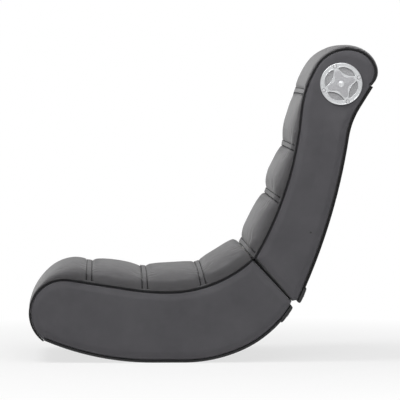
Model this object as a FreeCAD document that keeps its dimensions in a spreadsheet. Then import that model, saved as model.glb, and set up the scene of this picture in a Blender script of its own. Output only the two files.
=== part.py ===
import FreeCAD, Part
import math
import os

import Sketcher

# A floor rocker chair with a folding back, in millimetres.
# The sitter faces -X, the back is at +X and +Z is up. Y = 0 is the middle plane.
# A path runs over the piping of the seat and another over the piping of the back. Both are
# chains of lines and tangent arcs, and every board, panel and pad is measured from them.

os.makedirs("parts", exist_ok=True)
Vector = FreeCAD.Vector
doc = FreeCAD.newDocument("rocker_chair")

SIZES = {
    # width across the chair
    "panel_face": 214.0,
    "panel_wall": 8.0,
    "board_wall": 11.0,
    "pad_half_width": 210.2,
    "piping_radius": 2.2,
    # seat outline, from the front roll to the fold
    "front_roll_radius": 81.8,
    "front_roll_low": 234.28,
    "thigh_slope": 8.92,
    "thigh_length": 151.7,
    "seat_dip_radius": 588.5,
    "seat_rise_radius": 307.4,
    "seat_rise_sweep": 42.35,
    # back outline, from the fold over the head
    "fold_ahead": 2.5,
    "fold_drop": 1.7,
    "fold_lean": 132.2,
    "fold_gap": 2.6,
    "back_start_lean": 59.5,
    "back_hollow_radius": 847.0,
    "back_hollow_sweep": 25.4,
    "neck_radius": 262.2,
    "neck_sweep": 26.7,
    "head_front_radius": 87.0,
    "head_front_sweep": 76.5,
    "head_top_radius": 61.6,
    "head_top_sweep": 54.2,
    "head_rear_radius": 41.1,
    "head_rear_sweep": 65.0,
    # rear of the back, from the head down to the fold
    "rear_step_out": 8.5,
    "rear_step_back": 1.5,
    "rear_top_lean": 122.0,
    "rear_top_length": 60.0,
    "rear_bend_radius": 190.0,
    "rear_long_radius": 1485.0,
    "back_board_wall": 3.5,
    # rocker board under the seat
    "flat_start_x": -120.89,
    "flat_length": 75.0,
    "rocker_front_radius": 676.0,
    "rocker_front_sweep": 23.14,
    "rocker_middle_share": 1.065,
    "rocker_rear_share": 0.828,
    "rocker_board_wall": 5.0,
    # split faces and end bumpers
    "split_length": 138.0,
    "split_top_gap": 2.2,
    "split_low_gap": 0.8,
    "bumper_wall": 10.0,
    "bumper_half_width": 210.0,
    "seat_bumper_length": 37.0,
    "seat_bumper_lean": 54.0,
    "seat_bumper_drop": 16.6,
    "back_bumper_lean": -113.6,
    "back_bumper_behind": 18.2,
    "back_bumper_length": 31.0,
    "end_panel_wall": 10.0,
    "end_panel_top": 12.0,
    "end_panel_low": 122.0,
    # decks that carry the pads
    "seat_deck_wall": 12.0,
    "back_deck_wall": 4.0,
    "deck_gap": 0.8,
    # cross rails and the balance bar
    "rail_wall": 22.0,
    "front_rail_ahead": 9.1,
    "front_rail_drop": 54.8,
    "front_rail_height": 86.0,
    "middle_rail_height": 60.0,
    "weight_wall": 36.0,
    "weight_height": 50.0,
    "weight_drop": 32.8,
    "back_rail_wall": 16.0,
    "back_rail_depth": 60.0,
    "side_bolt_up": 135.6,
    "side_bolt_in": 36.2,
    "side_bolt_radius": 4.6,
    "side_bolt_length": 36.0,
    "high_rail_drop": 100.0,
    "high_rail_in": 24.0,
    # pads: crown over the piping at each seam and at the top of each puff
    "pad_edge_height": 2.4,
    "pad_draw_in": 2.0,
    "crown_flatness": 0.33,
    "front_lip_crown": 4.5,
    "front_puff_crown": 44.5,
    "front_seam_crown": 40.0,
    "thigh_puff_crown": 51.5,
    "thigh_seam_crown": 46.5,
    "middle_puff_crown": 57.0,
    "middle_seam_crown": 48.5,
    "rear_puff_crown": 56.0,
    "fold_seam_crown": 31.5,
    "lumbar_puff_crown": 46.0,
    "lumbar_seam_crown": 31.0,
    "shoulder_puff_crown": 36.5,
    "shoulder_seam_crown": 20.0,
    "neck_puff_crown": 22.0,
    "neck_seam_crown": 8.0,
    "head_puff_crown": 10.5,
    "seam_gap": 0.3,
    "pad_end_gap": 2.0,
    # seams, measured along the paths from the front of the seat and from the fold
    "front_seam_at": 191.0,
    "thigh_seam_at": 329.0,
    "middle_seam_at": 474.0,
    "lumbar_seam_at": 153.0,
    "shoulder_seam_at": 287.0,
    "neck_seam_at": 428.0,
    "front_seam_tilt": 8.0,
    "middle_seam_tilt": -4.0,
    "back_seam_tilt": -17.0,
    "neck_seam_tilt": -5.0,
    # hinges in the fold
    "hinge_rise": 30.0,
    "fold_clear_turn": 104.0,
    "hinge_length": 80.0,
    "hinge_place": 110.0,
    "hinge_barrel_radius": 3.5,
    "hinge_pin_radius": 2.0,
    "hinge_running_gap": 0.05,
    "hinge_relief": 0.9,
    "hinge_leaf_wall": 2.0,
    "hinge_leaf_drop": 46.0,
    "hinge_knuckle_gap": 0.4,
    "stop_pad_height": 22.0,
    "stop_pad_width": 60.0,
    "stop_pad_lift": 84.0,
    # speakers in the head
    "speaker_on": 50.3,
    "speaker_in": 49.9,
    "grille_radius": 51.3,
    "grille_wall": 3.6,
    "grille_screw_circle": 45.4,
    "grille_turn": 20.0,
    "grille_boss_radius": 6.5,
    "window_reach": 42.0,
    "window_half_length": 23.6,
    "window_depth": 18.0,
    "mesh_wall": 1.2,
    "driver_hole_radius": 42.5,
    "basket_flange_radius": 41.0,
    "basket_flange_wall": 2.0,
    "basket_radius": 36.5,
    "basket_rear_radius": 27.0,
    "basket_depth": 24.0,
    "basket_wall": 1.6,
    "cone_radius": 31.6,
    "cone_depth": 15.0,
    "cone_wall": 1.2,
    "coil_radius": 10.0,
    "coil_length": 14.0,
    "coil_gap": 0.8,
    "magnet_radius": 26.0,
    "magnet_depth": 13.0,
    # control panel in the sitter's right side
    "control_ahead": 90.0,
    "control_z": 112.0,
    "control_length": 132.0,
    "control_height": 52.0,
    "control_rim": 8.0,
    "control_plate_wall": 2.0,
    "knob_radius": 9.0,
    "knob_height": 8.0,
    "knob_place": 46.0,
    "knob_spacing": 27.0,
    "shaft_radius": 3.0,
    "shaft_gap": 0.05,
    "shaft_length": 12.0,
    "pot_size": 17.0,
    "switch_place": 8.0,
    "switch_length": 17.0,
    "switch_radius": 6.2,
    "switch_tilt": 8.0,
    "jack_place": 32.0,
    "jack_spacing": 18.0,
    "jack_radius": 1.8,
    "jack_body_radius": 4.0,
    "jack_depth": 13.0,
    "inlet_place": 50.0,
    "inlet_radius": 2.85,
    "inlet_body_radius": 6.0,
    "inlet_depth": 9.0,
    "circuit_wall": 1.6,
    "amplifier_ahead": 30.0,
    "amplifier_z": 72.0,
    "amplifier_length": 90.0,
    "amplifier_depth": 62.0,
    "amplifier_height": 50.0,
    "screw_head_radius": 3.6,
    "screw_head_wall": 1.6,
    "screw_length": 14.0,
    "screw_radius": 1.8,
}


def fill_sheet():
    """Put every driving dimension into the sheet, one row each, with its alias beside it."""
    sheet = doc.addObject("Spreadsheet::Sheet", "Sizes")
    for row, (alias, value) in enumerate(SIZES.items(), start=1):
        sheet.set("A%d" % row, alias)
        sheet.set("B%d" % row, str(value))
        sheet.setAlias("B%d" % row, alias)
    doc.recompute()


def size(name):
    return SIZES[name]


def cell(name):
    return "Sizes." + name


def heading_vector(degrees):
    """Unit vector in the XZ plane at this angle from +X towards +Z, as (x, z)."""
    turn = math.radians(degrees)
    return math.cos(turn), math.sin(turn)


def step(point, degrees, length):
    """The point this far along a heading."""
    ux, uz = heading_vector(degrees)
    return point[0] + ux * length, point[1] + uz * length


class Path:
    """A chain of lines and tangent arcs in the XZ plane.

    moves are ("line", length) or ("arc", radius, sweep), where a positive sweep turns left.
    """

    def __init__(self, start, heading, moves):
        self.spans = []
        at = 0.0
        for move in moves:
            if move[0] == "line":
                span = {"kind": "line", "radius": 0.0, "sweep": 0.0, "length": move[1]}
            else:
                arc = math.radians(abs(move[2])) * move[1]
                span = {"kind": "arc", "radius": move[1], "sweep": move[2], "length": arc}
            span.update(start=start, heading=heading, at=at)
            self.spans.append(span)
            start = self.along_span(span, span["length"])
            heading += span["sweep"]
            at += span["length"]
        self.end = start
        self.end_heading = heading
        self.length = at

    @staticmethod
    def along_span(span, distance, lift=0.0):
        """Point at a distance along a span, lifted to its left."""
        x, z = span["start"]
        heading = span["heading"]
        if span["kind"] == "line":
            x, z = step((x, z), heading, distance)
        else:
            side = math.copysign(1.0, span["sweep"])
            centre = step((x, z), heading + 90 * side, span["radius"])
            heading += side * math.degrees(distance / span["radius"])
            x, z = step(centre, heading - 90 * side, span["radius"])
        return step((x, z), heading + 90, lift)

    def span_at(self, distance):
        for span in self.spans:
            if distance <= span["at"] + span["length"]:
                return span
        return self.spans[-1]

    def point(self, distance, lift=0.0):
        span = self.span_at(distance)
        return self.along_span(span, distance - span["at"], lift)

    def heading(self, distance):
        span = self.span_at(distance)
        if span["kind"] == "line":
            return span["heading"]
        side = math.copysign(1.0, span["sweep"])
        return span["heading"] + side * math.degrees((distance - span["at"]) / span["radius"])

    def edges(self, start, end, lift=0.0, backward=False):
        """Pieces of the path between two distances, lifted, as (kind, first, middle, last)."""
        pieces = []
        for span in self.spans:
            low = max(start, span["at"])
            high = min(end, span["at"] + span["length"])
            if high - low < 0.001:
                continue
            stops = [low, (low + high) / 2, high]
            if backward:
                stops.reverse()
            points = [self.along_span(span, stop - span["at"], lift) for stop in stops]
            pieces.append((span["kind"], points[0], points[1], points[2]))
        return pieces[::-1] if backward else pieces


def line(first, last):
    middle = ((first[0] + last[0]) / 2, (first[1] + last[1]) / 2)
    return ("line", first, middle, last)


def closed(pieces):
    """Join pieces head to tail with short lines where their ends don't meet."""
    outline = []
    for index, piece in enumerate(pieces):
        outline.append(piece)
        following = pieces[(index + 1) % len(pieces)]
        if math.dist(piece[3], following[1]) > 0.01:
            outline.append(line(piece[3], following[1]))
    return outline


# Fixed lines and points of the chair

def lean_of(first, last):
    """Heading from one point to another."""
    return math.degrees(math.atan2(last[1] - first[1], last[0] - first[0]))


def small_turn(degrees):
    """The same turn as an angle between -180 and 180."""
    return (degrees + 180) % 360 - 180


def arcs_to(start, heading, first, second, end, side):
    """Two tangent arcs from a start to an end point. The radii are negative for right turns."""
    centre = step(start, heading + 90, first)
    reach = math.dist(centre, end)
    apart = first - second
    opening = math.acos((reach ** 2 + apart ** 2 - second ** 2) / (2 * reach * apart))
    ray = lean_of(centre, end) + side * math.degrees(opening)
    last_centre = step(centre, ray, apart)
    last_heading = lean_of(last_centre, end) + math.copysign(90, second)
    return [
        ("arc", abs(first), small_turn(ray + 90 - heading)),
        ("arc", abs(second), small_turn(last_heading - ray - 90)),
    ]


def even_radius(start, end):
    """Radius of the one arc that leaves the start level and passes through the end."""
    across, up = end[0] - start[0], end[1] - start[1]
    return (across ** 2 + up ** 2) / (2 * up)


LEAN = size("fold_lean")
FOLD_NORMAL = LEAN - 90
ROLL_LOW = size("front_roll_low")
ROLL_LEAD = math.radians(ROLL_LOW - 180) * size("front_roll_radius")
BOARD_FACE = size("panel_face") - size("panel_wall")
BOARD_INNER = BOARD_FACE - size("board_wall")
INNER_CELLS = "(%s-%s-%s)" % (cell("panel_face"), cell("panel_wall"), cell("board_wall"))
UNDER_PIPING = -1.0
BUMPER_LAP = 1.0
ROCKER_CENTRE = (size("flat_start_x"), size("rocker_front_radius"))
FRONT_END = step(ROCKER_CENTRE, 270 - size("rocker_front_sweep"), size("rocker_front_radius"))
ROLL_CENTRE = step(FRONT_END, ROLL_LOW - 180, size("front_roll_radius"))
FLAT_END = (size("flat_start_x") + size("flat_length"), 0.0)


def seat_path():
    """Piping of the seat, from the rocker board's front end up round the roll to the fold."""
    slope = size("thigh_slope")
    return Path(FRONT_END, ROLL_LOW - 90, [
        ("arc", size("front_roll_radius"), -(ROLL_LOW - 90 + slope)),
        ("line", size("thigh_length")),
        ("arc", size("seat_dip_radius"), slope),
        ("arc", size("seat_rise_radius"), size("seat_rise_sweep")),
    ])


SEAT = seat_path()
FOLD = step(step(SEAT.end, FOLD_NORMAL, size("fold_ahead")), LEAN, -size("fold_drop"))
PIVOT = step(FOLD, LEAN, size("hinge_rise"))


def split_line(side):
    """Top and bottom of the split face of the seat (side -1) or of the back (side 1)."""
    top = step(FOLD, FOLD_NORMAL, side * size("split_top_gap"))
    low = step(step(FOLD, LEAN, -size("split_length")), FOLD_NORMAL, side * size("split_low_gap"))
    return top, low


def seat_bumper_line():
    """Centre line of the seat's end bumper, from the rocker board's rear end upwards."""
    last = step(split_line(-1)[1], 270 - size("seat_bumper_lean") / 8, size("seat_bumper_drop"))
    return step(last, size("seat_bumper_lean"), -size("seat_bumper_length")), last


def back_bumper_line():
    """Centre line of the back's end bumper, from the rear board's lower end downwards."""
    low = split_line(1)[1]
    last = (low[0] + size("back_bumper_behind"), low[1])
    return step(last, size("back_bumper_lean"), -size("back_bumper_length")), last


SEAT_BUMPER = seat_bumper_line()
BACK_BUMPER = back_bumper_line()
BUMPER_SEAT = size("bumper_wall") / 2 + 0.2


def rocker_path():
    """Underside of the rocker board, from the front roll to the rear bumper."""
    sweep = size("rocker_front_sweep")
    end = step(SEAT_BUMPER[0], size("seat_bumper_lean"), -BUMPER_LAP)
    even = even_radius(FLAT_END, end)
    middle, rear = even * size("rocker_middle_share"), even * size("rocker_rear_share")
    rise = arcs_to(FLAT_END, 0.0, middle, rear, end, -1)
    return Path(FRONT_END, -sweep, [
        ("arc", size("rocker_front_radius"), sweep),
        ("line", size("flat_length")),
    ] + rise)


def back_path():
    """Piping of the back, from the fold up the front and over the head."""
    start = step(FOLD, FOLD_NORMAL, size("split_top_gap"))
    return Path(start, size("back_start_lean"), [
        ("arc", size("back_hollow_radius"), size("back_hollow_sweep")),
        ("arc", size("neck_radius"), -size("neck_sweep")),
        ("arc", size("head_front_radius"), -size("head_front_sweep")),
        ("arc", size("head_top_radius"), -size("head_top_sweep")),
        ("arc", size("head_rear_radius"), -size("head_rear_sweep")),
    ])


ROCKER = rocker_path()
BACK = back_path()


def rear_path():
    """Outside of the rear board, from the head down to the rear bumper."""
    start = BACK.point(BACK.length - size("rear_step_back"), size("rear_step_out"))
    heading = -size("rear_top_lean")
    bend_start = step(start, heading, size("rear_top_length"))
    end = step(BACK_BUMPER[0], size("back_bumper_lean"), -BUMPER_LAP)
    bends = arcs_to(bend_start, heading, size("rear_bend_radius"), -size("rear_long_radius"), end, -1)
    return Path(start, heading, [("line", size("rear_top_length"))] + bends)


REAR = rear_path()
SPEAKER = step(step(BACK.end, BACK.end_heading, size("speaker_on")),
               BACK.end_heading - 90, size("speaker_in"))
SIDE_BOLT = REAR.point(REAR.length - size("side_bolt_up"), -size("side_bolt_in"))
CONTROL_X = size("flat_start_x") - size("control_ahead")


# Drawing helpers

def bind(item, prop, expression):
    item.setExpression(prop, expression)


def new_body(label):
    body = doc.addObject("PartDesign::Body", label)
    body.Label = label
    return body


def sketch_on(body, role, name, base=(0, 0, 0), turn=None):
    """A sketch on one of the body's own origin planes, moved within that plane's frame."""
    sketch = body.newObject("Sketcher::SketchObject", name)
    plane = [item for item in body.Origin.OriginFeatures if item.Role == role][0]
    sketch.AttachmentSupport = [(plane, "")]
    sketch.MapMode = "FlatFace"
    rotation = turn or FreeCAD.Rotation()
    sketch.AttachmentOffset = FreeCAD.Placement(Vector(*base), rotation)
    return sketch


def hold(sketch, geometry, end, point, cells=(None, None)):
    """Fix a vertex by its distances from the sketch's origin, bound to cells where given."""
    for kind, value, expression in zip(("DistanceX", "DistanceY"), point, cells):
        index = sketch.addConstraint(Sketcher.Constraint(kind, -1, 1, geometry, end, value))
        if expression:
            bind(sketch, "Constraints[%d]" % index, expression)


def hold_radius(sketch, geometry, radius, expression=None):
    index = sketch.addConstraint(Sketcher.Constraint("Radius", geometry, radius))
    if expression:
        bind(sketch, "Constraints[%d]" % index, expression)


def add_piece(sketch, piece):
    """Add a line or an arc. Returns its number and which of its ends come first and last."""
    kind, *points = piece
    ends = [Vector(x, z, 0) for x, z in points]
    if kind == "line":
        return sketch.addGeometry(Part.LineSegment(ends[0], ends[2])), 1, 2
    number = sketch.addGeometry(Part.Arc(*ends))
    clockwise = (ends[1] - ends[0]).cross(ends[2] - ends[1]).z < 0
    return (number, 2, 1) if clockwise else (number, 1, 2)


def draw(sketch, outline, cells=None, shut=True):
    """Draw pieces head to tail. cells maps a piece's number to the cells of its first vertex."""
    cells = cells or {}
    made = [add_piece(sketch, piece) for piece in outline]
    for number, (geometry, head, tail) in enumerate(made):
        if shut or number + 1 < len(made):
            following = made[(number + 1) % len(made)]
            sketch.addConstraint(
                Sketcher.Constraint("Coincident", geometry, tail, following[0], following[1]))
        hold(sketch, geometry, head, outline[number][1], cells.get(number, (None, None)))
        if outline[number][0] == "arc":
            hold_radius(sketch, geometry, sketch.Geometry[geometry].Radius)


def draw_circles(sketch, centres, radius, expression):
    for centre in centres:
        geometry = sketch.addGeometry(
            Part.Circle(Vector(centre[0], centre[1], 0), Vector(0, 0, 1), radius))
        hold(sketch, geometry, 3, centre)
        hold_radius(sketch, geometry, radius, expression)


def side_sketch(body, name, high):
    """A sketch seen from the chair's left, standing at y = high, an expression."""
    sketch = sketch_on(body, "XZ_Plane", name)
    bind(sketch, "AttachmentOffset.Base.z", "-(%s)" % high)
    return sketch


def extrude(body, sketch, kind, length):
    """Pad or pocket a side sketch towards -Y by a length, an expression."""
    feature = body.newObject("PartDesign::" + kind, sketch.Name + kind)
    feature.Profile = sketch
    feature.Length = 1
    bind(feature, "Length", length)
    feature.Reversed = kind == "Pocket"
    return feature


def pad_across(body, outline, high, length, name="Profile"):
    sketch = side_sketch(body, name, high)
    draw(sketch, outline)
    return extrude(body, sketch, "Pad", length)


def pocket_across(body, outline, high, length, name):
    sketch = side_sketch(body, name, high)
    draw(sketch, outline)
    return extrude(body, sketch, "Pocket", length)


def drill_across(body, centres, radius, expression, high, length, name):
    sketch = side_sketch(body, name, high)
    draw_circles(sketch, centres, radius, expression)
    return extrude(body, sketch, "Pocket", length)


def box(name, sizes, place=(0, 0, 0), cells=None):
    item = doc.addObject("Part::Box", name)
    item.Length, item.Width, item.Height = sizes
    item.Placement = FreeCAD.Placement(Vector(*place), FreeCAD.Rotation())
    for prop, expression in (cells or {}).items():
        bind(item, prop, expression)
    return item


def rod(name, radius, height, cells=None):
    item = doc.addObject("Part::Cylinder", name)
    item.Radius = radius
    item.Height = height
    for prop, expression in (cells or {}).items():
        bind(item, prop, expression)
    return item


def cone(name, first, last, height):
    item = doc.addObject("Part::Cone", name)
    item.Radius1 = first
    item.Radius2 = last
    item.Height = height
    return item


def aim(item, point, y, direction):
    """Stand an item's own Z along a direction, with its base at a point of the XZ plane."""
    turn = FreeCAD.Rotation(Vector(0, 0, 1), Vector(*direction))
    item.Placement = FreeCAD.Placement(Vector(point[0], y, point[1]), turn)
    return item


def joined(kind, label, items):
    """A fuse, or a compound that keeps its solids separate, under one label."""
    result = doc.addObject(kind, label)
    if kind == "Part::Compound":
        result.Links = items
    else:
        result.Shapes = items
    result.Label = label
    return result


def fuse(label, items):
    return joined("Part::MultiFuse", label, items)


def group(label, items):
    return joined("Part::Compound", label, items)


def cut(label, base, tools):
    result = doc.addObject("Part::Cut", label)
    result.Base = base
    result.Tool = tools[0] if len(tools) == 1 else fuse(label + "_tools", tools)
    result.Label = label
    return result


# Outlines in the XZ plane

def roll_meets_rocker(roll, radius):
    """Angle on the front roll's circle at which it meets the rocker's front circle."""
    far = math.dist(ROLL_CENTRE, ROCKER_CENTRE)
    cosine = (far ** 2 + roll ** 2 - radius ** 2) / (2 * far * roll)
    return (lean_of(ROLL_CENTRE, ROCKER_CENTRE) + math.degrees(math.acos(cosine))) % 360


def seat_outline():
    """Side of the seat inside the rocker board, below the piping."""
    wall = size("rocker_board_wall")
    roll = size("front_roll_radius") + UNDER_PIPING
    low = roll_meets_rocker(roll, size("rocker_front_radius") - wall)
    start = step(ROLL_CENTRE, low, roll)
    nose = ("arc", start, step(ROLL_CENTRE, (low + 180) / 2, roll), step(ROLL_CENTRE, 180, roll))
    top = SEAT.edges(ROLL_LEAD, SEAT.length, UNDER_PIPING)
    bottom = ROCKER.edges(0, ROCKER.length, wall, backward=True)
    bottom[-1] = bottom[-1][:3] + (start,)
    inward = size("seat_bumper_lean") + 90
    bumper = [step(point, inward, BUMPER_SEAT) for point in SEAT_BUMPER]
    split_top, split_low = split_line(-1)
    rear = [line(split_top, split_low), line(split_low, bumper[1]), line(bumper[1], bumper[0])]
    return closed([nose] + top + rear + bottom)


def back_outline():
    """Side of the back inside the rear board, below the piping."""
    top = BACK.edges(0, BACK.length, UNDER_PIPING)
    rear = REAR.edges(0, REAR.length, -size("back_board_wall"))
    inward = size("back_bumper_lean") - 90
    bumper = [step(point, inward, BUMPER_SEAT) for point in BACK_BUMPER]
    split_top, split_low = split_line(1)
    low = [line(bumper[0], bumper[1]), line(bumper[1], split_low), line(split_low, split_top)]
    return closed(top + rear + low)


def strip(path, start, end, high, low):
    """A strip that follows a path between two lifts."""
    return closed(path.edges(start, end, high) + path.edges(start, end, low, backward=True))


def bar(first, last, wall):
    """A straight bar with rounded edges, about its centre line."""
    lean = lean_of(first, last)
    half = wall / 2
    outline = []
    for end, aim_lean in ((last, lean), (first, lean + 180)):
        centre = step(end, aim_lean, -half)
        points = [step(centre, aim_lean + turn, half) for turn in (-90, -45, 0, 45, 90)]
        outline += [("arc",) + tuple(points[:3]), ("arc",) + tuple(points[2:])]
        outline.append(None)
    outline[2] = line(outline[1][3], outline[3][1])
    outline[5] = line(outline[4][3], outline[0][1])
    return outline


def block(corner, lean, length, depth):
    """A rectangle from a corner, with its length along the lean and its depth to the left."""
    far = step(corner, lean, length)
    points = [corner, far, step(far, lean + 90, depth), step(corner, lean + 90, depth)]
    return [line(points[n], points[(n + 1) % 4]) for n in range(4)]


# Sides: a padded panel outside and a plywood board inside it, on both sides of each half

SCREW_HOLE = "%s+0.1" % cell("screw_radius")


def grille_screw_spots():
    return [step(SPEAKER, size("grille_turn") + n * 90, size("grille_screw_circle"))
            for n in range(4)]


def control_screw_spots():
    half_length = size("control_length") / 2 - 4.0
    half_height = size("control_height") / 2 - 5.0
    return [(CONTROL_X + i * half_length, size("control_z") + j * half_height)
            for i in (-1, 1) for j in (-1, 1)]


def control_window(rim):
    length = size("control_length") - 2 * rim
    height = size("control_height") - rim
    corner = (CONTROL_X - length / 2, size("control_z") - height / 2)
    return block(corner, 0, length, height)


def cut_seat_side(body, side, layer):
    """The control panel's window, on the sitter's right only. The plate rests on the board."""
    if side < 0:
        return
    rim = 0.0 if layer == "panel" else size("control_rim")
    high = cell("panel_face") + "+1"
    depth = "%s+%s+2" % (cell("panel_wall"), cell("board_wall"))
    pocket_across(body, control_window(rim), high, depth, "Window")


def cut_back_side(body, side, layer):
    """Holes for the driver, the grille's screws and the side bolt."""
    depth = "%s+%s+4" % (cell("panel_wall"), cell("board_wall"))
    high = cell("panel_face") + "+2"
    if side < 0:
        high = "-(%s-2)" % INNER_CELLS
    if layer == "panel":
        radius, name = size("driver_hole_radius"), cell("driver_hole_radius")
    else:
        radius, name = size("basket_radius") + 0.5, cell("basket_radius") + "+0.5"
    drill_across(body, [SPEAKER], radius, name, high, depth, "DriverHole")
    screw = size("screw_radius") + 0.1
    if layer == "panel":
        drill_across(body, grille_screw_spots(), screw, SCREW_HOLE, high, depth, "GrilleHoles")
    drill_across(body, [SIDE_BOLT], screw, SCREW_HOLE, high, depth, "BoltHole")


def make_sides(half, outline, cut_side):
    for side, hand in ((-1, "left"), (1, "right")):
        for layer, wall in (("panel", cell("panel_wall")), ("board", cell("board_wall"))):
            skin = "" if layer == "panel" else "-" + cell("panel_wall")
            high = cell("panel_face") + skin
            if side < 0:
                high = "-(%s%s-%s)" % (cell("panel_face"), skin, wall)
            name = "side_panel" if layer == "panel" else "frame_board"
            body = new_body("%s_%s_%s" % (half, name, hand))
            pad_across(body, outline, high, wall)
            cut_side(body, side, layer)


# Boards, rails and bumpers that span the chair

def spanning(label, outline, half=INNER_CELLS):
    """A piece between the side boards, or across a stated half width."""
    body = new_body(label)
    pad_across(body, outline, half, "2*(%s)" % half)
    return body


def across(label, x, z, wall, height):
    """A square-edged bar between the side boards."""
    box(label, (size(wall), 2 * BOARD_INNER, size(height)), (x, -BOARD_INNER, z),
        {"Length": cell(wall), "Width": "2*" + INNER_CELLS, "Height": cell(height)})


def fold_board(label, side):
    """The board that closes one half along the split, behind the hinge leaf."""
    corner = step(step(FOLD, LEAN, -size("end_panel_top")), FOLD_NORMAL, side * size("fold_gap"))
    length = size("end_panel_low") - size("end_panel_top")
    wall = size("end_panel_wall")
    outline = block(corner, LEAN + 180, length, wall * side)
    return spanning(label, outline)


def make_frame():
    gap = size("deck_gap")
    wall = size("seat_deck_wall")
    ends = 6.0
    spanning("seat_deck", strip(SEAT, ends, SEAT.length - 0.5, -gap, -gap - wall))
    wall = size("back_deck_wall")
    spanning("back_deck", strip(BACK, 0.5, BACK.length - ends, -gap, -gap - wall))
    fold_board("seat_end_panel", -1)
    fold_board("back_end_panel", 1)
    front = ROLL_CENTRE[0] - size("front_rail_ahead")
    across("seat_front_rail", front, ROLL_CENTRE[1] - size("front_rail_drop"), "rail_wall",
           "front_rail_height")
    across("seat_balance_bar", front - size("weight_wall"), ROLL_CENTRE[1] - size("weight_drop"),
           "weight_wall", "weight_height")
    middle = size("flat_start_x") + (size("flat_length") - size("rail_wall")) / 2
    across("seat_middle_rail", middle, size("rocker_board_wall"), "rail_wall",
           "middle_rail_height")
    wall = size("back_rail_wall")
    depth = size("back_rail_depth")
    low = step(SIDE_BOLT, 160, depth - size("rail_wall"))
    spanning("back_low_rail", block(step(low, 250, wall / 2), -20, depth, wall))
    place = size("neck_seam_at") - size("high_rail_drop")
    high = BACK.point(place, -size("high_rail_in"))
    spanning("back_high_rail", block(high, BACK.heading(place) - 90, depth, wall))


def outer_boards():
    """Rocker board and rear board with clearance holes for their screws, and both bumpers."""
    width = cell("panel_face")
    rocker = spanning("rocker_board_blank", strip(ROCKER, 0, ROCKER.length, size("rocker_board_wall"), 0),
                      width)
    rear = spanning("back_board_blank", strip(REAR, 0, REAR.length, 0, -size("back_board_wall")),
                    width)
    half = cell("bumper_half_width")
    seat_bar = spanning("seat_bumper_blank", bar(*SEAT_BUMPER, size("bumper_wall")), half)
    back_bar = spanning("back_bumper_blank", bar(*BACK_BUMPER, size("bumper_wall")), half)
    return rocker, rear, seat_bar, back_bar


def board_screws(tag, path, shares, inward, wall):
    """Countersunk screws through a board into the side boards, and the holes they need."""
    screws, holes = [], []
    middle = BOARD_FACE - size("board_wall") / 2
    for row, share in enumerate(shares):
        distance = path.length * share
        lean = path.heading(distance) + inward
        ux, uz = heading_vector(lean)
        flush = path.point(distance, 0)
        for side in (-1, 1):
            name = "%s_%d%s" % (tag, row, "r" if side > 0 else "l")
            head = rod(name + "_head", size("screw_head_radius"), wall * 0.5,
                       {"Radius": cell("screw_head_radius")})
            shank = rod(name + "_shank", size("screw_radius"), size("screw_length"),
                        {"Radius": cell("screw_radius"), "Height": cell("screw_length")})
            start = step(flush, lean, 0.3)
            aim(head, start, side * middle, (ux, 0, uz))
            aim(shank, start, side * middle, (ux, 0, uz))
            screws.append(fuse(name, [head, shank]))
            wide = rod(name + "_sink", size("screw_head_radius") + 0.1, wall * 0.5 + 2.3)
            thin = rod(name + "_hole", size("screw_radius") + 0.1, wall + 4)
            aim(wide, step(flush, lean, -2), side * middle, (ux, 0, uz))
            aim(thin, step(flush, lean, -2), side * middle, (ux, 0, uz))
            holes += [wide, thin]
    return screws, holes


def bumper_screws(tag, centre_line, lean_out):
    """Round-headed screws through a bumper near its ends, and their holes."""
    screws, holes = [], []
    half = size("bumper_wall") / 2
    ux, uz = heading_vector(lean_out)
    middle = ((centre_line[0][0] + centre_line[1][0]) / 2, (centre_line[0][1] + centre_line[1][1]) / 2)
    for side in (-1, 1):
        y = side * (BOARD_FACE - size("board_wall") / 2)
        name = "%s_%s" % (tag, "r" if side > 0 else "l")
        outside = step(middle, lean_out, half)
        head = rod(name + "_head", size("screw_head_radius"), size("screw_head_wall"),
                   {"Radius": cell("screw_head_radius"), "Height": cell("screw_head_wall")})
        shank = rod(name + "_shank", size("screw_radius"), size("screw_length") + half,
                    {"Radius": cell("screw_radius")})
        aim(head, outside, y, (ux, 0, uz))
        aim(shank, outside, y, (-ux, 0, -uz))
        screws.append(fuse(name, [head, shank]))
        hole = rod(name + "_hole", size("screw_radius") + 0.1, size("bumper_wall") + 4)
        aim(hole, step(middle, lean_out, half + 2), y, (-ux, 0, -uz))
        holes.append(hole)
    return screws, holes


def make_outer_boards():
    rocker, rear, seat_bar, back_bar = outer_boards()
    rocker_screws, rocker_holes = board_screws(
        "rocker_screw", ROCKER, (0.08, 0.3, 0.68, 0.92), 90, size("rocker_board_wall"))
    rear_screws, rear_holes = board_screws(
        "rear_screw", REAR, (0.06, 0.36, 0.66, 0.94), -90, size("back_board_wall"))
    seat_ends, seat_end_holes = bumper_screws(
        "seat_bumper_screw", SEAT_BUMPER, size("seat_bumper_lean") - 90)
    back_ends, back_end_holes = bumper_screws(
        "back_bumper_screw", BACK_BUMPER, size("back_bumper_lean") + 90)
    cut("rocker_board", rocker, rocker_holes)
    cut("back_board", rear, rear_holes)
    cut("seat_end_bumper", seat_bar, seat_end_holes)
    cut("back_end_bumper", back_bar, back_end_holes)
    group("seat_screws", rocker_screws + seat_ends + control_screws())
    group("back_screws", rear_screws + back_ends)


# Pads: each is a loft through sections that stand on a path and lean with its seams

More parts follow.
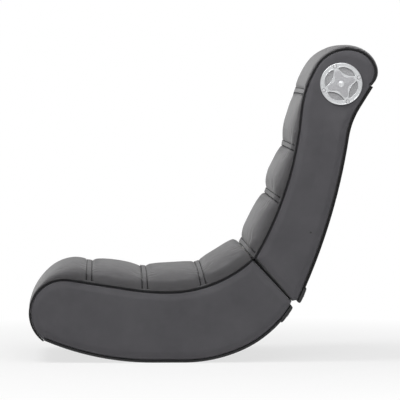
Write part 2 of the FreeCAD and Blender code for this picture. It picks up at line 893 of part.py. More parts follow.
def section_pieces(crown, half_width):
    """Section of a pad: flat base, short edges, round shoulders and a flatter crown."""
    edge = size("pad_edge_height")
    sag = max(0.6, (crown - edge) * size("crown_flatness"))
    big = half_width ** 2 / (2 * sag)
    shoulder = (big ** 2 - half_width ** 2 - (big - crown + edge) ** 2) / (2 * (big - half_width))
    centre = (0, crown - big)
    corner = (half_width - shoulder, edge)
    lean = lean_of(centre, corner)
    meet = step(centre, lean, big)
    knee = step(corner, lean / 2, shoulder)
    top = step(centre, (lean + 90) / 2, big)

    def other(point):
        return (-point[0], point[1])

    return [
        line((half_width, 0), (half_width, edge)),
        ("arc", (half_width, edge), knee, meet),
        ("arc", meet, top, (0, crown)),
        ("arc", (0, crown), other(top), other(meet)),
        ("arc", other(meet), other(knee), (-half_width, edge)),
        line((-half_width, edge), (-half_width, 0)),
        line((-half_width, 0), (half_width, 0)),
    ]


def make_pad(label, path, stations, lead=0.0):
    """Loft a pad through stations (distance, crown, tilt, share of the draw-in)."""
    body = new_body(label)
    sections = []
    for number, (distance, crown, tilt, draw_in) in enumerate(stations):
        x, z = path.point(distance + lead)
        lean = path.heading(distance + lead) + tilt
        turn = FreeCAD.Rotation(Vector(1, 0, 0), -lean)
        sketch = sketch_on(body, "YZ_Plane", "%sSection%d" % (label, number), (0, z, x), turn)
        half_width = size("pad_half_width") - draw_in * size("pad_draw_in")
        width = "%s-%s*%s" % (cell("pad_half_width"), draw_in, cell("pad_draw_in"))
        cells = {0: (width, None), 1: (width, cell("pad_edge_height"))}
        draw(sketch, section_pieces(crown, half_width), cells)
        sections.append(sketch)
    loft = body.newObject("PartDesign::AdditiveLoft", label + "Loft")
    loft.Profile = sections[0]
    loft.Sections = sections[1:]
    loft.Ruled = False
    return body


FULL_PUFF = ((0.0, 0.0, 1.0), (0.085, 0.62, 0.5), (0.25, 0.94, 0.1), (0.5, 1.0, 0.0),
             (0.75, 0.94, 0.1), (0.915, 0.62, 0.5), (1.0, 0.0, 1.0))


def puff(start, end, crowns, tilts):
    """Stations of one puff: low at both seams, full between them, and drawn in at its ends."""
    first, top, last = crowns
    stations = []
    for share, fullness, draw_in in FULL_PUFF:
        low = first + (last - first) * share
        tilt = tilts[0] + (tilts[1] - tilts[0]) * share
        stations.append((start + (end - start) * share, low + (top - low) * fullness, tilt, draw_in))
    return stations


FALLING_PUFF = ((0.0, 0.0, 1.0), (0.09, 0.7, 0.5), (0.28, 1.0, 0.0), (0.55, 0.84, 0.0),
                (0.8, 0.55, 0.15), (0.93, 0.28, 0.5), (1.0, 0.0, 1.0))


def falling_puff(start, end, crowns, tilts):
    """Stations of a puff that is fullest in its lower third and thins towards its upper seam."""
    first, top, last = crowns
    stations = []
    for share, fullness, draw_in in FALLING_PUFF:
        low = first if share < 0.28 else last
        tilt = tilts[0] + (tilts[1] - tilts[0]) * share
        stations.append((start + (end - start) * share, low + (top - low) * fullness, tilt, draw_in))
    return stations


def fold_clear(distance):
    """Highest crown this far from the fold line that the other half passes when folded."""
    return size("hinge_rise") + distance / math.tan(math.radians(size("fold_clear_turn") / 2))


def hinge_relief(label, form):
    """Cut the hinges' round relief from a pad that meets the fold."""
    tools = []
    for place in (-1, 1):
        tool = rod("%s_relief%d" % (label, place + 1), 1, size("hinge_length") + 2,
                   {"Radius": "%s+%s" % (cell("hinge_barrel_radius"), cell("hinge_relief"))})
        start = place * size("hinge_place") - size("hinge_length") / 2 - 1
        tools.append(aim(tool, PIVOT, start, (0, 1, 0)))
    cut(label, form, tools)


RISING_PUFF = ((0.0, 0.013, 0, 0), (0.2, 0.05, 0, 0), (0.356, 0.14, 0, 0), (0.497, 0.35, 0, 0),
               (0.628, 0.65, 0, 0), (0.759, 0.912, 0.25, 0), (0.859, 0.995, 0.6, 0))


def make_front_pad():
    """The pad over the front roll: thin round the front, and full on top up to its seam."""
    lip, top, seam = (size(n) for n in ("front_lip_crown", "front_puff_crown", "front_seam_crown"))
    tilt, reach = size("front_seam_tilt"), size("front_seam_at")
    stations = [(-ROLL_LEAD + size("pad_end_gap"), lip, 0, 0), (-ROLL_LEAD / 2, lip, 0, 0)]
    stations += [(reach * share, lip + (top - lip) * fullness, tilt * turned, draw_in)
                 for share, fullness, turned, draw_in in RISING_PUFF]
    stations += [(reach * 0.937, seam + (top - seam) * 0.75, tilt * 0.9, 0.5),
                 (reach - size("seam_gap") / 2, seam, tilt, 1)]
    make_pad("seat_front_pad", SEAT, stations, ROLL_LEAD)


def make_rear_pad():
    """The seat's last pad, which falls to the fold low enough for the back to fold over it."""
    low, top = size("middle_seam_crown"), size("rear_puff_crown")
    tilt = size("middle_seam_tilt")
    fold_tilt = FOLD_NORMAL - SEAT.heading(SEAT.length)
    start = size("middle_seam_at") + size("seam_gap") / 2
    end = SEAT.length - ROLL_LEAD - size("fold_gap") + size("fold_ahead")
    reach = end - start
    shoulder = fold_clear(reach * 0.131)
    form = make_pad("seat_rear_pad_form", SEAT, [
        (start, low, tilt, 1), (start + reach * 0.087, low + (top - low) * 0.62, tilt, 0.5),
        (start + reach * 0.26, top * 0.99, tilt * 0.8, 0.1),
        (start + reach * 0.505, top, tilt * 0.4, 0),
        (start + reach * 0.723, top * 0.965, fold_tilt, 0.1),
        (start + reach * 0.869, shoulder, fold_tilt, 0.4),
        (end, size("fold_seam_crown"), fold_tilt, 1)], ROLL_LEAD)
    hinge_relief("seat_rear_pad", form)


def make_lumbar_pad():
    """The back's first pad, which rises from the fold."""
    low, top = size("lumbar_seam_crown"), size("lumbar_puff_crown")
    tilt = size("back_seam_tilt")
    fold_tilt = FOLD_NORMAL - BACK.heading(0)
    start = size("fold_gap") - size("split_top_gap")
    reach = size("lumbar_seam_at") - size("seam_gap") / 2 - start
    near, rising = reach * 0.115, math.radians(-fold_tilt)
    shoulder = fold_clear(near * math.cos(rising)) - near * math.sin(rising)
    form = make_pad("back_lumbar_pad_form", BACK, [
        (start, size("fold_seam_crown"), fold_tilt, 1),
        (start + near, shoulder, fold_tilt, 0.4),
        (start + reach * 0.26, top * 0.985, fold_tilt, 0.1), (start + reach * 0.47, top, tilt, 0),
        (start + reach * 0.705, top * 0.9, tilt, 0),
        (start + reach * 0.908, low + (top - low) * 0.33, tilt, 0.5),
        (start + reach, low, tilt, 1)])
    hinge_relief("back_lumbar_pad", form)


HEAD_ROLL = ((0.0, 0.0, 1), (0.05, 0.56, 0.5), (0.14, 0.72, 0), (0.27, 0.48, 0), (0.4, 0.44, 0),
             (0.52, 1.0, 0), (0.63, 0.68, 0), (0.73, 0.2, 0), (0.82, -0.2, 0), (0.91, -0.6, 0),
             (1.0, -1.36, 0.5))


def make_headrest_pad():
    """The pad that rolls over the head, from the neck seam to the rear board."""
    seam, top = size("neck_seam_crown"), size("head_puff_crown")
    start = size("neck_seam_at") + size("seam_gap") / 2
    reach = BACK.length - start - size("pad_end_gap") / 2
    make_pad("headrest_pad", BACK, [
        (start + reach * share, seam + (top - seam) * fullness,
         size("neck_seam_tilt") * (1 - share), draw_in)
        for share, fullness, draw_in in HEAD_ROLL])


def make_pads():
    gap = size("seam_gap") / 2
    front, thigh, middle = (size(n) for n in ("front_seam_at", "thigh_seam_at", "middle_seam_at"))
    lumbar, shoulder, neck = (size(n) for n in ("lumbar_seam_at", "shoulder_seam_at", "neck_seam_at"))
    tilt = size("front_seam_tilt")
    make_front_pad()
    make_pad("seat_thigh_pad", SEAT, puff(
        front + gap, thigh - gap,
        (size("front_seam_crown"), size("thigh_puff_crown"), size("thigh_seam_crown")),
        (tilt, tilt)), ROLL_LEAD)
    make_pad("seat_middle_pad", SEAT, puff(
        thigh + gap, middle - gap,
        (size("thigh_seam_crown"), size("middle_puff_crown"), size("middle_seam_crown")),
        (tilt, size("middle_seam_tilt"))), ROLL_LEAD)
    make_rear_pad()
    make_lumbar_pad()
    tilt = size("back_seam_tilt")
    make_pad("back_shoulder_pad", BACK, falling_puff(
        lumbar + gap, shoulder - gap,
        (size("lumbar_seam_crown"), size("shoulder_puff_crown"), size("shoulder_seam_crown")),
        (tilt, tilt)))
    make_pad("back_neck_pad", BACK, falling_puff(
        shoulder + gap, neck - gap,
        (size("shoulder_seam_crown"), size("neck_puff_crown"), size("neck_seam_crown")),
        (tilt, size("neck_seam_tilt"))))
    make_headrest_pad()


# Piping: a round cord along each panel's upper edge, against the side of the pads

def piping_cord(tag, path, start, end, side):
    body = new_body(tag)
    radius = size("piping_radius")
    y = side * (size("pad_half_width") + radius + 0.1)
    edges = path.edges(start, end, radius + UNDER_PIPING)
    route = sketch_on(body, "XZ_Plane", tag + "Route", (0, 0, -y))
    draw(route, edges, shut=False)
    x, z = edges[0][1]
    turn = FreeCAD.Rotation(Vector(1, 0, 0), -path.heading(start))
    profile = sketch_on(body, "YZ_Plane", tag + "Profile", (y, z, x), turn)
    draw_circles(profile, [(0, 0)], radius, cell("piping_radius"))
    pipe = body.newObject("PartDesign::AdditivePipe", tag + "Pipe")
    pipe.Profile = profile
    pipe.Spine = (route, [])
    return body


def make_piping():
    for half, path in (("seat", SEAT), ("back", BACK)):
        cords = []
        for side, hand in ((-1, "left"), (1, "right")):
            tag = "%s_cord_%s" % (half, hand)
            cords.append(piping_cord(tag, path, 0.5, path.length - 0.5, side))
        group(half + "_piping", cords)


# Hinges in the fold

def at_fold(item, lift, across, y):
    """Place an item by its lift along the fold line, its offset across it and its y."""
    x, z = step(step(FOLD, LEAN, lift), FOLD_NORMAL, across)
    item.Placement = FreeCAD.Placement(
        Vector(x, y, z), FreeCAD.Rotation(Vector(0, -1, 0), FOLD_NORMAL))
    return item


def knuckle_spans(count=5):
    """Start and end of each knuckle along a hinge."""
    gap = size("hinge_knuckle_gap")
    length = (size("hinge_length") - gap * (count - 1)) / count
    return [(n * (length + gap), n * (length + gap) + length) for n in range(count)]


def hinge_screw_spots():
    """Each hinge's screw places: the hand and the y."""
    spread = size("hinge_length") * 0.32
    return [place * size("hinge_place") + n * spread for place in (-1, 1) for n in (-1, 0, 1)]


def hinge_leaves(label, side, own):
    """Plates in the gap, lugs up to the pivot and bored knuckles, for both hinges of a half."""
    wall, drop = size("hinge_leaf_wall"), size("hinge_leaf_drop")
    barrel, rise = size("hinge_barrel_radius"), size("hinge_rise")
    across = 0.2 if side > 0 else -0.2 - wall
    top = rise - barrel - 0.5
    leaves = []
    for place, hand in ((-1, "left"), (1, "right")):
        start = place * size("hinge_place") - size("hinge_length") / 2
        tag = "%s_%s" % (label, hand)
        items = [at_fold(box(tag + "_plate", (wall, size("hinge_length"), top + drop), (0, 0, 0),
                             {"Length": cell("hinge_leaf_wall"), "Width": cell("hinge_length")}),
                         -drop, across, start)]
        for number, (low, high) in enumerate(knuckle_spans()):
            if number % 2 != own:
                continue
            lug = box("%s_lug%d" % (tag, number), (wall, high - low, rise - top + 0.4), (0, 0, 0),
                      {"Length": cell("hinge_leaf_wall")})
            items.append(at_fold(lug, top - 0.4, across, start + low))
            knuckle = rod("%s_knuckle%d" % (tag, number), barrel, high - low,
                          {"Radius": cell("hinge_barrel_radius")})
            items.append(aim(knuckle, PIVOT, start + low, (0, 1, 0)))
        bore = rod(tag + "_bore", 1, size("hinge_length") + 2,
                   {"Radius": "%s+%s" % (cell("hinge_pin_radius"), cell("hinge_running_gap"))})
        aim(bore, PIVOT, start - 1, (0, 1, 0))
        sinks = []
        ux, uz = heading_vector(FOLD_NORMAL)
        for spot in hinge_screw_spots():
            if abs(spot - place * size("hinge_place")) < size("hinge_length") / 2:
                sink = rod("%s_sink%d" % (tag, spot), size("screw_head_radius") - 0.3, 8)
                sinks.append(aim(sink, step(step(FOLD, LEAN, -drop * 0.62), FOLD_NORMAL, -4),
                                 spot, (ux, 0, uz)))
        leaves.append(cut(tag, fuse(tag + "_solid", items), [bore] + sinks))
    return group(label, leaves)


def hinge_screws(label, side):
    """Countersunk screws that hold a leaf to its end panel."""
    screws = []
    ux, uz = heading_vector(FOLD_NORMAL)
    seat = step(step(FOLD, LEAN, -size("hinge_leaf_drop") * 0.62), FOLD_NORMAL, side * 0.4)
    for number, spot in enumerate(hinge_screw_spots()):
        name = "%s_%d" % (label, number)
        head = rod(name + "_head", size("screw_head_radius") - 0.4, 1.6)
        shank = rod(name + "_shank", size("screw_radius"), 9, {"Radius": cell("screw_radius")})
        for item in (head, shank):
            aim(item, seat, spot, (side * ux, 0, side * uz))
        screws.append(fuse(name, [head, shank]))
    group(label, screws)


def make_hinges():
    hinge_leaves("hinge_leaf_seat", -1, 0)
    hinge_leaves("hinge_leaf_back", 1, 1)
    hinge_screws("hinge_screws_seat", -1)
    hinge_screws("hinge_screws_back", 1)
    pins, stops = [], []
    for place, hand in ((-1, "left"), (1, "right")):
        pin = rod("hinge_pin_" + hand, 1, 1,
                  {"Radius": cell("hinge_pin_radius"), "Height": cell("hinge_length")})
        start = place * size("hinge_place") - size("hinge_length") / 2
        pins.append(aim(pin, PIVOT, start, (0, 1, 0)))
        width = size("stop_pad_width")
        stop = box("stop_pad_" + hand, (2 * size("fold_gap") - 0.1, width, size("stop_pad_height")),
                   (0, 0, 0), {"Length": "2*%s-0.1" % cell("fold_gap"),
                               "Width": cell("stop_pad_width"), "Height": cell("stop_pad_height")})
        stops.append(at_fold(stop, -size("stop_pad_lift") - size("stop_pad_height"),
                             -size("fold_gap"), place * size("hinge_place") - width / 2))
    group("hinge_pins", pins)
    group("fold_stop_pads", stops)


# Speakers, one in each side of the head

def window_leaf(turn):
    """A leaf-shaped window across the radius at this angle: two arcs that meet in points."""
    reach, half = size("window_reach"), size("window_half_length")
    middle = step(SPEAKER, turn, reach - size("window_depth") / 2 - 3.0)
    first = step(middle, turn - 90, half)
    last = step(middle, turn + 90, half)
    outer = step(SPEAKER, turn, reach)
    inner = step(SPEAKER, turn, reach - size("window_depth"))
    return [("arc", first, outer, last), ("arc", last, inner, first)]


def make_grille(side, hand):
    """Moulded grille: a disc with four leaf windows, screw holes and a bare centre boss."""
    body = new_body("speaker_grille_" + hand)
    face = cell("panel_face")
    wall = cell("grille_wall")
    high = "%s+%s" % (face, wall) if side > 0 else "-" + face
    sketch = side_sketch(body, "Disc", high)
    draw_circles(sketch, [SPEAKER], size("grille_radius"), cell("grille_radius"))
    extrude(body, sketch, "Pad", wall)
    for number in range(4):
        turn = size("grille_turn") + 45 + number * 90
        pocket_across(body, window_leaf(turn), high + "+1", wall + "+2", "Window%d" % number)
    drill_across(body, grille_screw_spots(), size("screw_radius") + 0.1, SCREW_HOLE,
                 high + "+1", wall + "+2", "ScrewHoles")
    boss_high = "%s+%s+1.2" % (face, wall) if side > 0 else "-(%s+%s-1)" % (face, wall)
    sketch = side_sketch(body, "Boss", boss_high)
    draw_circles(sketch, [SPEAKER], size("grille_boss_radius"), cell("grille_boss_radius"))
    extrude(body, sketch, "Pad", "2.2")


def driver_parts(side, hand):
    """Basket, cone and magnet about the speaker's axis, from the board's face inwards."""
    face = side * BOARD_FACE
    inward = (0, -side, 0)

    def ring_of(name, outer, bore, start, length):
        solid = aim(rod(name + "_outer", outer, length), SPEAKER, face - side * start, inward)
        hole = rod(name + "_inner", bore, length + 2)
        aim(hole, SPEAKER, face - side * (start - 1), inward)
        return cut(name, solid, [hole])

    depth, wall = size("basket_depth"), size("basket_wall")
    front, rear = size("basket_radius"), size("basket_rear_radius")
    coil, gap = size("coil_radius"), size("coil_gap")
    shell = cut("basket_shell_" + hand,
                aim(cone("basket_out_" + hand, front, rear, depth), SPEAKER, face, inward),
                [aim(cone("basket_in_" + hand, front - wall, rear - wall, depth), SPEAKER, face, inward)])
    flange = ring_of("basket_flange_" + hand, size("basket_flange_radius"), front - wall,
                     -size("basket_flange_wall"), size("basket_flange_wall"))
    plate = ring_of("basket_plate_" + hand, rear, coil + 1.2, depth, wall)
    basket = fuse("basket_" + hand, [shell, flange, plate])
    top, deep, skin = size("cone_radius"), size("cone_depth"), size("cone_wall")
    paper = cut("cone_shell_" + hand,
                aim(cone("cone_out_" + hand, top, coil, deep), SPEAKER, face, inward),
                [aim(cone("cone_in_" + hand, top - skin, coil - skin, deep), SPEAKER,
                     face + side * 0.01, inward)])
    cap_start = deep * 0.55
    cap_radius = top + (coil - top) * 0.55 - skin / 2
    cap = aim(rod("cone_cap_" + hand, cap_radius, skin), SPEAKER, face - side * cap_start, inward)
    former = ring_of("coil_former_" + hand, coil, coil - 1.0, deep - 1.0, size("coil_length"))
    moving = fuse("speaker_cone_" + hand, [paper, cap, former])
    start = depth + wall
    magnet_ring = ring_of("magnet_ring_" + hand, size("magnet_radius"), coil + gap, start,
                          size("magnet_depth"))
    base = aim(rod("magnet_base_" + hand, size("magnet_radius"), 3), SPEAKER,
               face - side * (start + size("magnet_depth")), inward)
    pole = aim(rod("magnet_pole_" + hand, coil - 1.0 - gap, size("magnet_depth") + 3), SPEAKER,
               face - side * start, inward)
    magnet = fuse("magnet_" + hand, [magnet_ring, base, pole])
    return basket, moving, magnet


def make_speakers():
    baskets, magnets, meshes, screws = [], [], [], []
    for side, hand in ((-1, "left"), (1, "right")):
        make_grille(side, hand)
        basket, _, magnet = driver_parts(side, hand)
        baskets.append(basket)
        magnets.append(magnet)
        face = size("panel_face")
        sheet = rod("mesh_" + hand, 1, 1, {"Radius": cell("driver_hole_radius") + "-0.3",
                                           "Height": cell("mesh_wall")})
        meshes.append(aim(sheet, SPEAKER, side * (face - 0.05), (0, -side, 0)))
        for number, spot in enumerate(grille_screw_spots()):
            screws.append(side_screw("grille_screw_%s_%d" % (hand, number), spot, side,
                                     face + size("grille_wall"), size("screw_length")))
    group("speaker_baskets", baskets)
    group("speaker_magnets", magnets)
    group("speaker_meshes", meshes)
    group("grille_screws", screws)


def side_screw(tag, spot, side, face, length, head_radius="screw_head_radius"):
    """A screw driven inwards along Y, with its round head on a face."""
    head = rod(tag + "_head", 1, 1, {"Radius": cell(head_radius), "Height": cell("screw_head_wall")})
    shank = rod(tag + "_shank", 1, length, {"Radius": cell("screw_radius")})
    aim(head, spot, side * face, (0, side, 0))
    aim(shank, spot, side * face, (0, -side, 0))
    return fuse(tag, [head, shank])


def make_side_bolts():
    """The bolt that shows on each side of the back and holds the low rail."""
    bolts = [side_screw("side_bolt_" + hand, SIDE_BOLT, side, size("panel_face"),
                        size("side_bolt_length"), "side_bolt_radius")
             for side, hand in ((-1, "left"), (1, "right"))]
    group("side_bolts", bolts)


# Control panel in the sitter's right side

PLATE_FACE = BOARD_FACE + size("control_plate_wall")


def control_point(place, lift=0.0):
    return (CONTROL_X + place, size("control_z") + lift)


KNOBS = {
    "volume": control_point(-size("knob_place")),
    "bass": control_point(size("knob_spacing") - size("knob_place")),
}
SWITCH = control_point(size("switch_place"))
JACKS = [control_point(size("jack_place"), lift * size("jack_spacing") / 2) for lift in (-1, 1)]
INLET = control_point(size("inlet_place"))


def control_screws():
    return [side_screw("control_screw_%d" % number, spot, 1, PLATE_FACE, size("screw_length") - 2)
            for number, spot in enumerate(control_screw_spots())]


def make_control_plate():
    body = new_body("control_plate")
    high = "%s-%s+%s" % (cell("panel_face"), cell("panel_wall"), cell("control_plate_wall"))
    outline = control_window(0.4)
    pad_across(body, outline, high, cell("control_plate_wall"))
    deep = cell("control_plate_wall") + "+2"
    high += "+1"
    drill_across(body, list(KNOBS.values()), size("shaft_radius") + 0.6,
                 cell("shaft_radius") + "+0.6", high, deep, "ShaftHoles")
    drill_across(body, JACKS, size("jack_body_radius") + 0.05, cell("jack_body_radius") + "+0.05",
                 high, deep, "JackHoles")
    drill_across(body, [INLET], size("inlet_body_radius") + 0.05,
                 cell("inlet_body_radius") + "+0.05", high, deep, "InletHole")
    drill_across(body, control_screw_spots(), size("screw_radius") + 0.1, SCREW_HOLE, high, deep,
                 "ScrewHoles")
    length, height = switch_opening()
    corner = (SWITCH[0] - length / 2, SWITCH[1] - height / 2)
    pocket_across(body, block(corner, 0, length, height), high, deep, "SwitchHole")


def switch_opening():
    """Length and height of the hole that the rocker of the power switch works in."""
    return size("switch_length") + 0.6, 2 * size("switch_radius") + 0.8


def make_knob(name, spot):
    """A knob with its shaft and a raised pointer, turning in a pot behind the plate."""
    base = PLATE_FACE + 0.4
    grip = rod(name + "_grip", 1, 1, {"Radius": cell("knob_radius"), "Height": cell("knob_height")})
    aim(grip, spot, base, (0, 1, 0))
    rim = doc.addObject("Part::Chamfer", name + "_rim")
    rim.Base = grip
    doc.recompute()
    edges = [n for n, edge in enumerate(grip.Shape.Edges, start=1)
             if edge.Closed and abs(edge.BoundBox.YMin - base - size("knob_height")) < 0.01]
    rim.Edges = [(edges[0], 1.0, 1.0)]
    shaft = rod(name + "_shaft", 1, 1, {"Radius": cell("shaft_radius"),
                                        "Height": cell("shaft_length") + "+1"})
    aim(shaft, spot, base - size("shaft_length"), (0, 1, 0))
    pointer = box(name + "_pointer", (1.2, 0.8, size("knob_radius") - 2.5),
                  (spot[0] - 0.6, base + size("knob_height") - 0.3, spot[1] + 1.0))
    fuse(name + "_knob", [rim, shaft, pointer])


def make_pots():
    pots = []
    block_size = size("pot_size")
    back = BOARD_INNER - 3.0
    for name, spot in KNOBS.items():
        housing = box(name + "_pot_block", (block_size, BOARD_FACE - back, block_size),
                      (spot[0] - block_size / 2, back, spot[1] - block_size / 2))
        bore = rod(name + "_pot_bore", 1, BOARD_FACE - back,
                   {"Radius": "%s+%s" % (cell("shaft_radius"), cell("shaft_gap"))})
        aim(bore, spot, back + 1.0, (0, 1, 0))
        pots.append(cut(name + "_pot", housing, [bore]))
    group("control_pots", pots)


def make_switch():
    """A rocker between two flat faces, and the frame that it tilts in."""
    length, height = switch_opening()
    radius = size("switch_radius")
    axis_y = PLATE_FACE
    barrel = rod("switch_barrel", 1, 1, {"Radius": cell("switch_radius"),
                                         "Height": cell("switch_length")})
    aim(barrel, (SWITCH[0] - size("switch_length") / 2, SWITCH[1]), axis_y, (1, 0, 0))
    tools = []
    for side in (-1, 1):
        slab = box("switch_slab%d" % (side + 1), (size("switch_length") + 2, 10, 12))
        lean = side * size("switch_tilt")
        start = -12 if side < 0 else 0
        turn = FreeCAD.Rotation(Vector(1, 0, 0), -lean + size("switch_tilt"))
        base = Vector(SWITCH[0] - size("switch_length") / 2 - 1, axis_y, SWITCH[1])
        base += turn.multVec(Vector(0, radius - 1.6, start))
        slab.Placement = FreeCAD.Placement(base, turn)
        tools.append(slab)
    cut("power_switch", barrel, tools)
    wall = 1.2
    depth = radius + 3.0
    outer = box("switch_case_block", (length + 2 * wall, depth, height + 2 * wall),
                (SWITCH[0] - length / 2 - wall, BOARD_FACE - depth, SWITCH[1] - height / 2 - wall))
    inner = box("switch_case_hollow", (length, depth, height),
                (SWITCH[0] - length / 2, BOARD_FACE - depth + wall, SWITCH[1] - height / 2))
    cut("switch_case", outer, [inner])


def socket(tag, spot, body_radius, bore_radius, bore_cell, depth):
    """A round socket through the plate, closed at its inner end."""
    length = depth + 1.5
    outer = rod(tag + "_outer", body_radius, length)
    aim(outer, spot, PLATE_FACE + 0.5 - length, (0, 1, 0))
    bore = rod(tag + "_bore", bore_radius, depth + 1, {"Radius": cell(bore_cell)})
    aim(bore, spot, PLATE_FACE + 0.5 - depth, (0, 1, 0))
    return cut(tag, outer, [bore])


def make_controls():
    make_control_plate()
    for name, spot in KNOBS.items():
        make_knob(name, spot)
    make_pots()
    make_switch()
    jacks = [socket("jack_%d" % n, spot, size("jack_body_radius"), size("jack_radius"),
                    "jack_radius", size("jack_depth")) for n, spot in enumerate(JACKS)]
    group("audio_jacks", jacks)
    socket("power_inlet", INLET, size("inlet_body_radius"), size("inlet_radius"),
           "inlet_radius", size("inlet_depth"))
    wall = size("circuit_wall")
    length = size("control_length") - 2 * size("control_rim") - 4
    height = size("control_height") - size("control_rim") - 4
    box("circuit_board", (length, wall, height),
        (CONTROL_X - length / 2, BOARD_INNER - 3.0 - wall, size("control_z") - height / 2),
        {"Width": cell("circuit_wall")})
    depth = size("amplifier_depth")
    front = size("flat_start_x") - size("amplifier_ahead")
    box("amplifier_box", (size("amplifier_length"), depth, size("amplifier_height")),
        (front, BOARD_INNER - depth, size("amplifier_z")),
        {"Length": cell("amplifier_length"), "Width": cell("amplifier_depth"),
         "Height": cell("amplifier_height")})


NODES = [
    "seat_side_panel_left", "seat_side_panel_right", "seat_frame_board_left",
    "seat_frame_board_right", "seat_front_rail", "seat_middle_rail", "seat_balance_bar",
    "seat_deck", "seat_end_panel", "rocker_board", "seat_end_bumper", "seat_screws",
    "seat_front_pad", "seat_thigh_pad", "seat_middle_pad", "seat_rear_pad", "seat_piping",
    "amplifier_box", "circuit_board", "control_plate", "control_pots", "audio_jacks",
    "power_inlet", "switch_case", "power_switch", "volume_knob", "bass_knob",
    "hinge_leaf_seat", "hinge_screws_seat", "hinge_pins", "fold_stop_pads",
    "back_side_panel_left", "back_side_panel_right", "back_frame_board_left",
    "back_frame_board_right", "back_low_rail", "back_high_rail", "back_deck",
    "back_end_panel", "back_board", "back_end_bumper", "back_screws", "side_bolts",
    "back_lumbar_pad", "back_shoulder_pad", "back_neck_pad", "headrest_pad", "back_piping",
    "hinge_leaf_back", "hinge_screws_back", "speaker_grille_left", "speaker_grille_right",
    "speaker_meshes", "grille_screws", "speaker_baskets", "speaker_magnets",
    "speaker_cone_left", "speaker_cone_right",
]


def build():
    fill_sheet()
    make_sides("seat", seat_outline(), cut_seat_side)
    make_sides("back", back_outline(), cut_back_side)
    make_frame()
    make_outer_boards()
    make_pads()
    make_piping()
    make_hinges()
    make_side_bolts()
    make_speakers()
    make_controls()
    doc.recompute()


def check_and_export():
    """Stop on any failed object or empty sub-part, then write each sub-part to its file."""
    faults = [item.Label for item in doc.Objects
              if "Invalid" in item.State or "Error" in item.State]
    parts = {label: doc.getObjectsByLabel(label) for label in NODES}
    for label, found in parts.items():
        if len(found) != 1 or found[0].Shape.isNull() or not found[0].Shape.isValid():
            faults.append(label)
    if faults:
        raise SystemExit("failed: " + ", ".join(faults))
    for label, found in parts.items():
        found[0].Shape.exportStep("parts/%s.step" % label)
    print("nodes", len(parts))


if __name__ == "__main__":
    build()
    check_and_export()
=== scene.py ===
import math

import bmesh
import bpy
import numpy as np
from mathutils import Matrix, Vector


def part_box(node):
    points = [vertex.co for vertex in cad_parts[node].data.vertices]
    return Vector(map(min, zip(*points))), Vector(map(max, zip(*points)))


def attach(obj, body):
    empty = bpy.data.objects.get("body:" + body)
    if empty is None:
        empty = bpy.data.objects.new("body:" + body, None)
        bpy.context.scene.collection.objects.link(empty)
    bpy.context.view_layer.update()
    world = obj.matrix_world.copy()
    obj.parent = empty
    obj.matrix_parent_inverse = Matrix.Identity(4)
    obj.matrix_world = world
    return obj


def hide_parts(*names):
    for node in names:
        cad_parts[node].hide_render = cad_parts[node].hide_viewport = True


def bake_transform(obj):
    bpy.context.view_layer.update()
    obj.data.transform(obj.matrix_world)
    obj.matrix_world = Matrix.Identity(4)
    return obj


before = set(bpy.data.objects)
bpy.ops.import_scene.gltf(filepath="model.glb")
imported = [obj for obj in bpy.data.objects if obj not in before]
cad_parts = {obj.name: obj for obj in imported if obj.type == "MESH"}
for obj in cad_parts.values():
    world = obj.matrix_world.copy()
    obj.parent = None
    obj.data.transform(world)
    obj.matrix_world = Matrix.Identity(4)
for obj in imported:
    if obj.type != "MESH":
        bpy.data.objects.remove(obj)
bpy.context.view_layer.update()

# Outlines from the chair's construction: start, heading and runs, each a line's length or an
# arc's radius and sweep
FRONT_END = (-386.544, 54.386)
ROLL_LEAD = 77.495
FOLD_NORMAL = 132.2
FOLD_PIVOT = (104.936, 273.831)
FOLD_ACROSS = (math.cos(math.radians(FOLD_NORMAL - 90)), 0.0, math.sin(math.radians(FOLD_NORMAL - 90)))
SPEAKER = (337.32, 679.48)
CONTROL = (-210.89, 112.0)
SEAT_TOP = (FRONT_END, 144.28, (("arc", 81.8, -153.2), ("line", 151.7), ("arc", 588.5, 8.92),
                                ("arc", 307.4, 42.35)))
BACK_FRONT = ((126.718, 253.085), 59.5, (("arc", 847.0, 25.4), ("arc", 262.2, -26.7),
                                         ("arc", 87.0, -76.5), ("arc", 61.6, -54.2),
                                         ("arc", 41.1, -65.0)))
BACK_REAR = ((415.0, 671.4), -122.0, (("line", 60.0), ("arc", 190.0, 23.26),
                                      ("arc", 1485.0, -14.9)))
ROCKER = (FRONT_END, -23.14, (("arc", 676.0, 23.14), ("line", 75.0), ("arc", 353.0, 23.16),
                              ("arc", 274.5, 26.08)))
PANEL_IN = 206.0
PANEL_FACE = 214.0
PANEL_FULLNESS = 3.4
GRILLE_FACE = 217.6
GRILLE_TURN = 20.0
SIDE_BOLT = (263.5, 317.4)
KNOB_PLACES = {"volume_knob": -256.89, "bass_knob": -229.89}


def run_length(run):
    """Length of one run: a line's own length, or radius times sweep for an arc."""
    return run[1] if run[0] == "line" else run[1] * math.radians(abs(run[2]))


def outline_length(outline):
    """Length of an outline: its runs added up."""
    return sum(run_length(run) for run in outline[2])


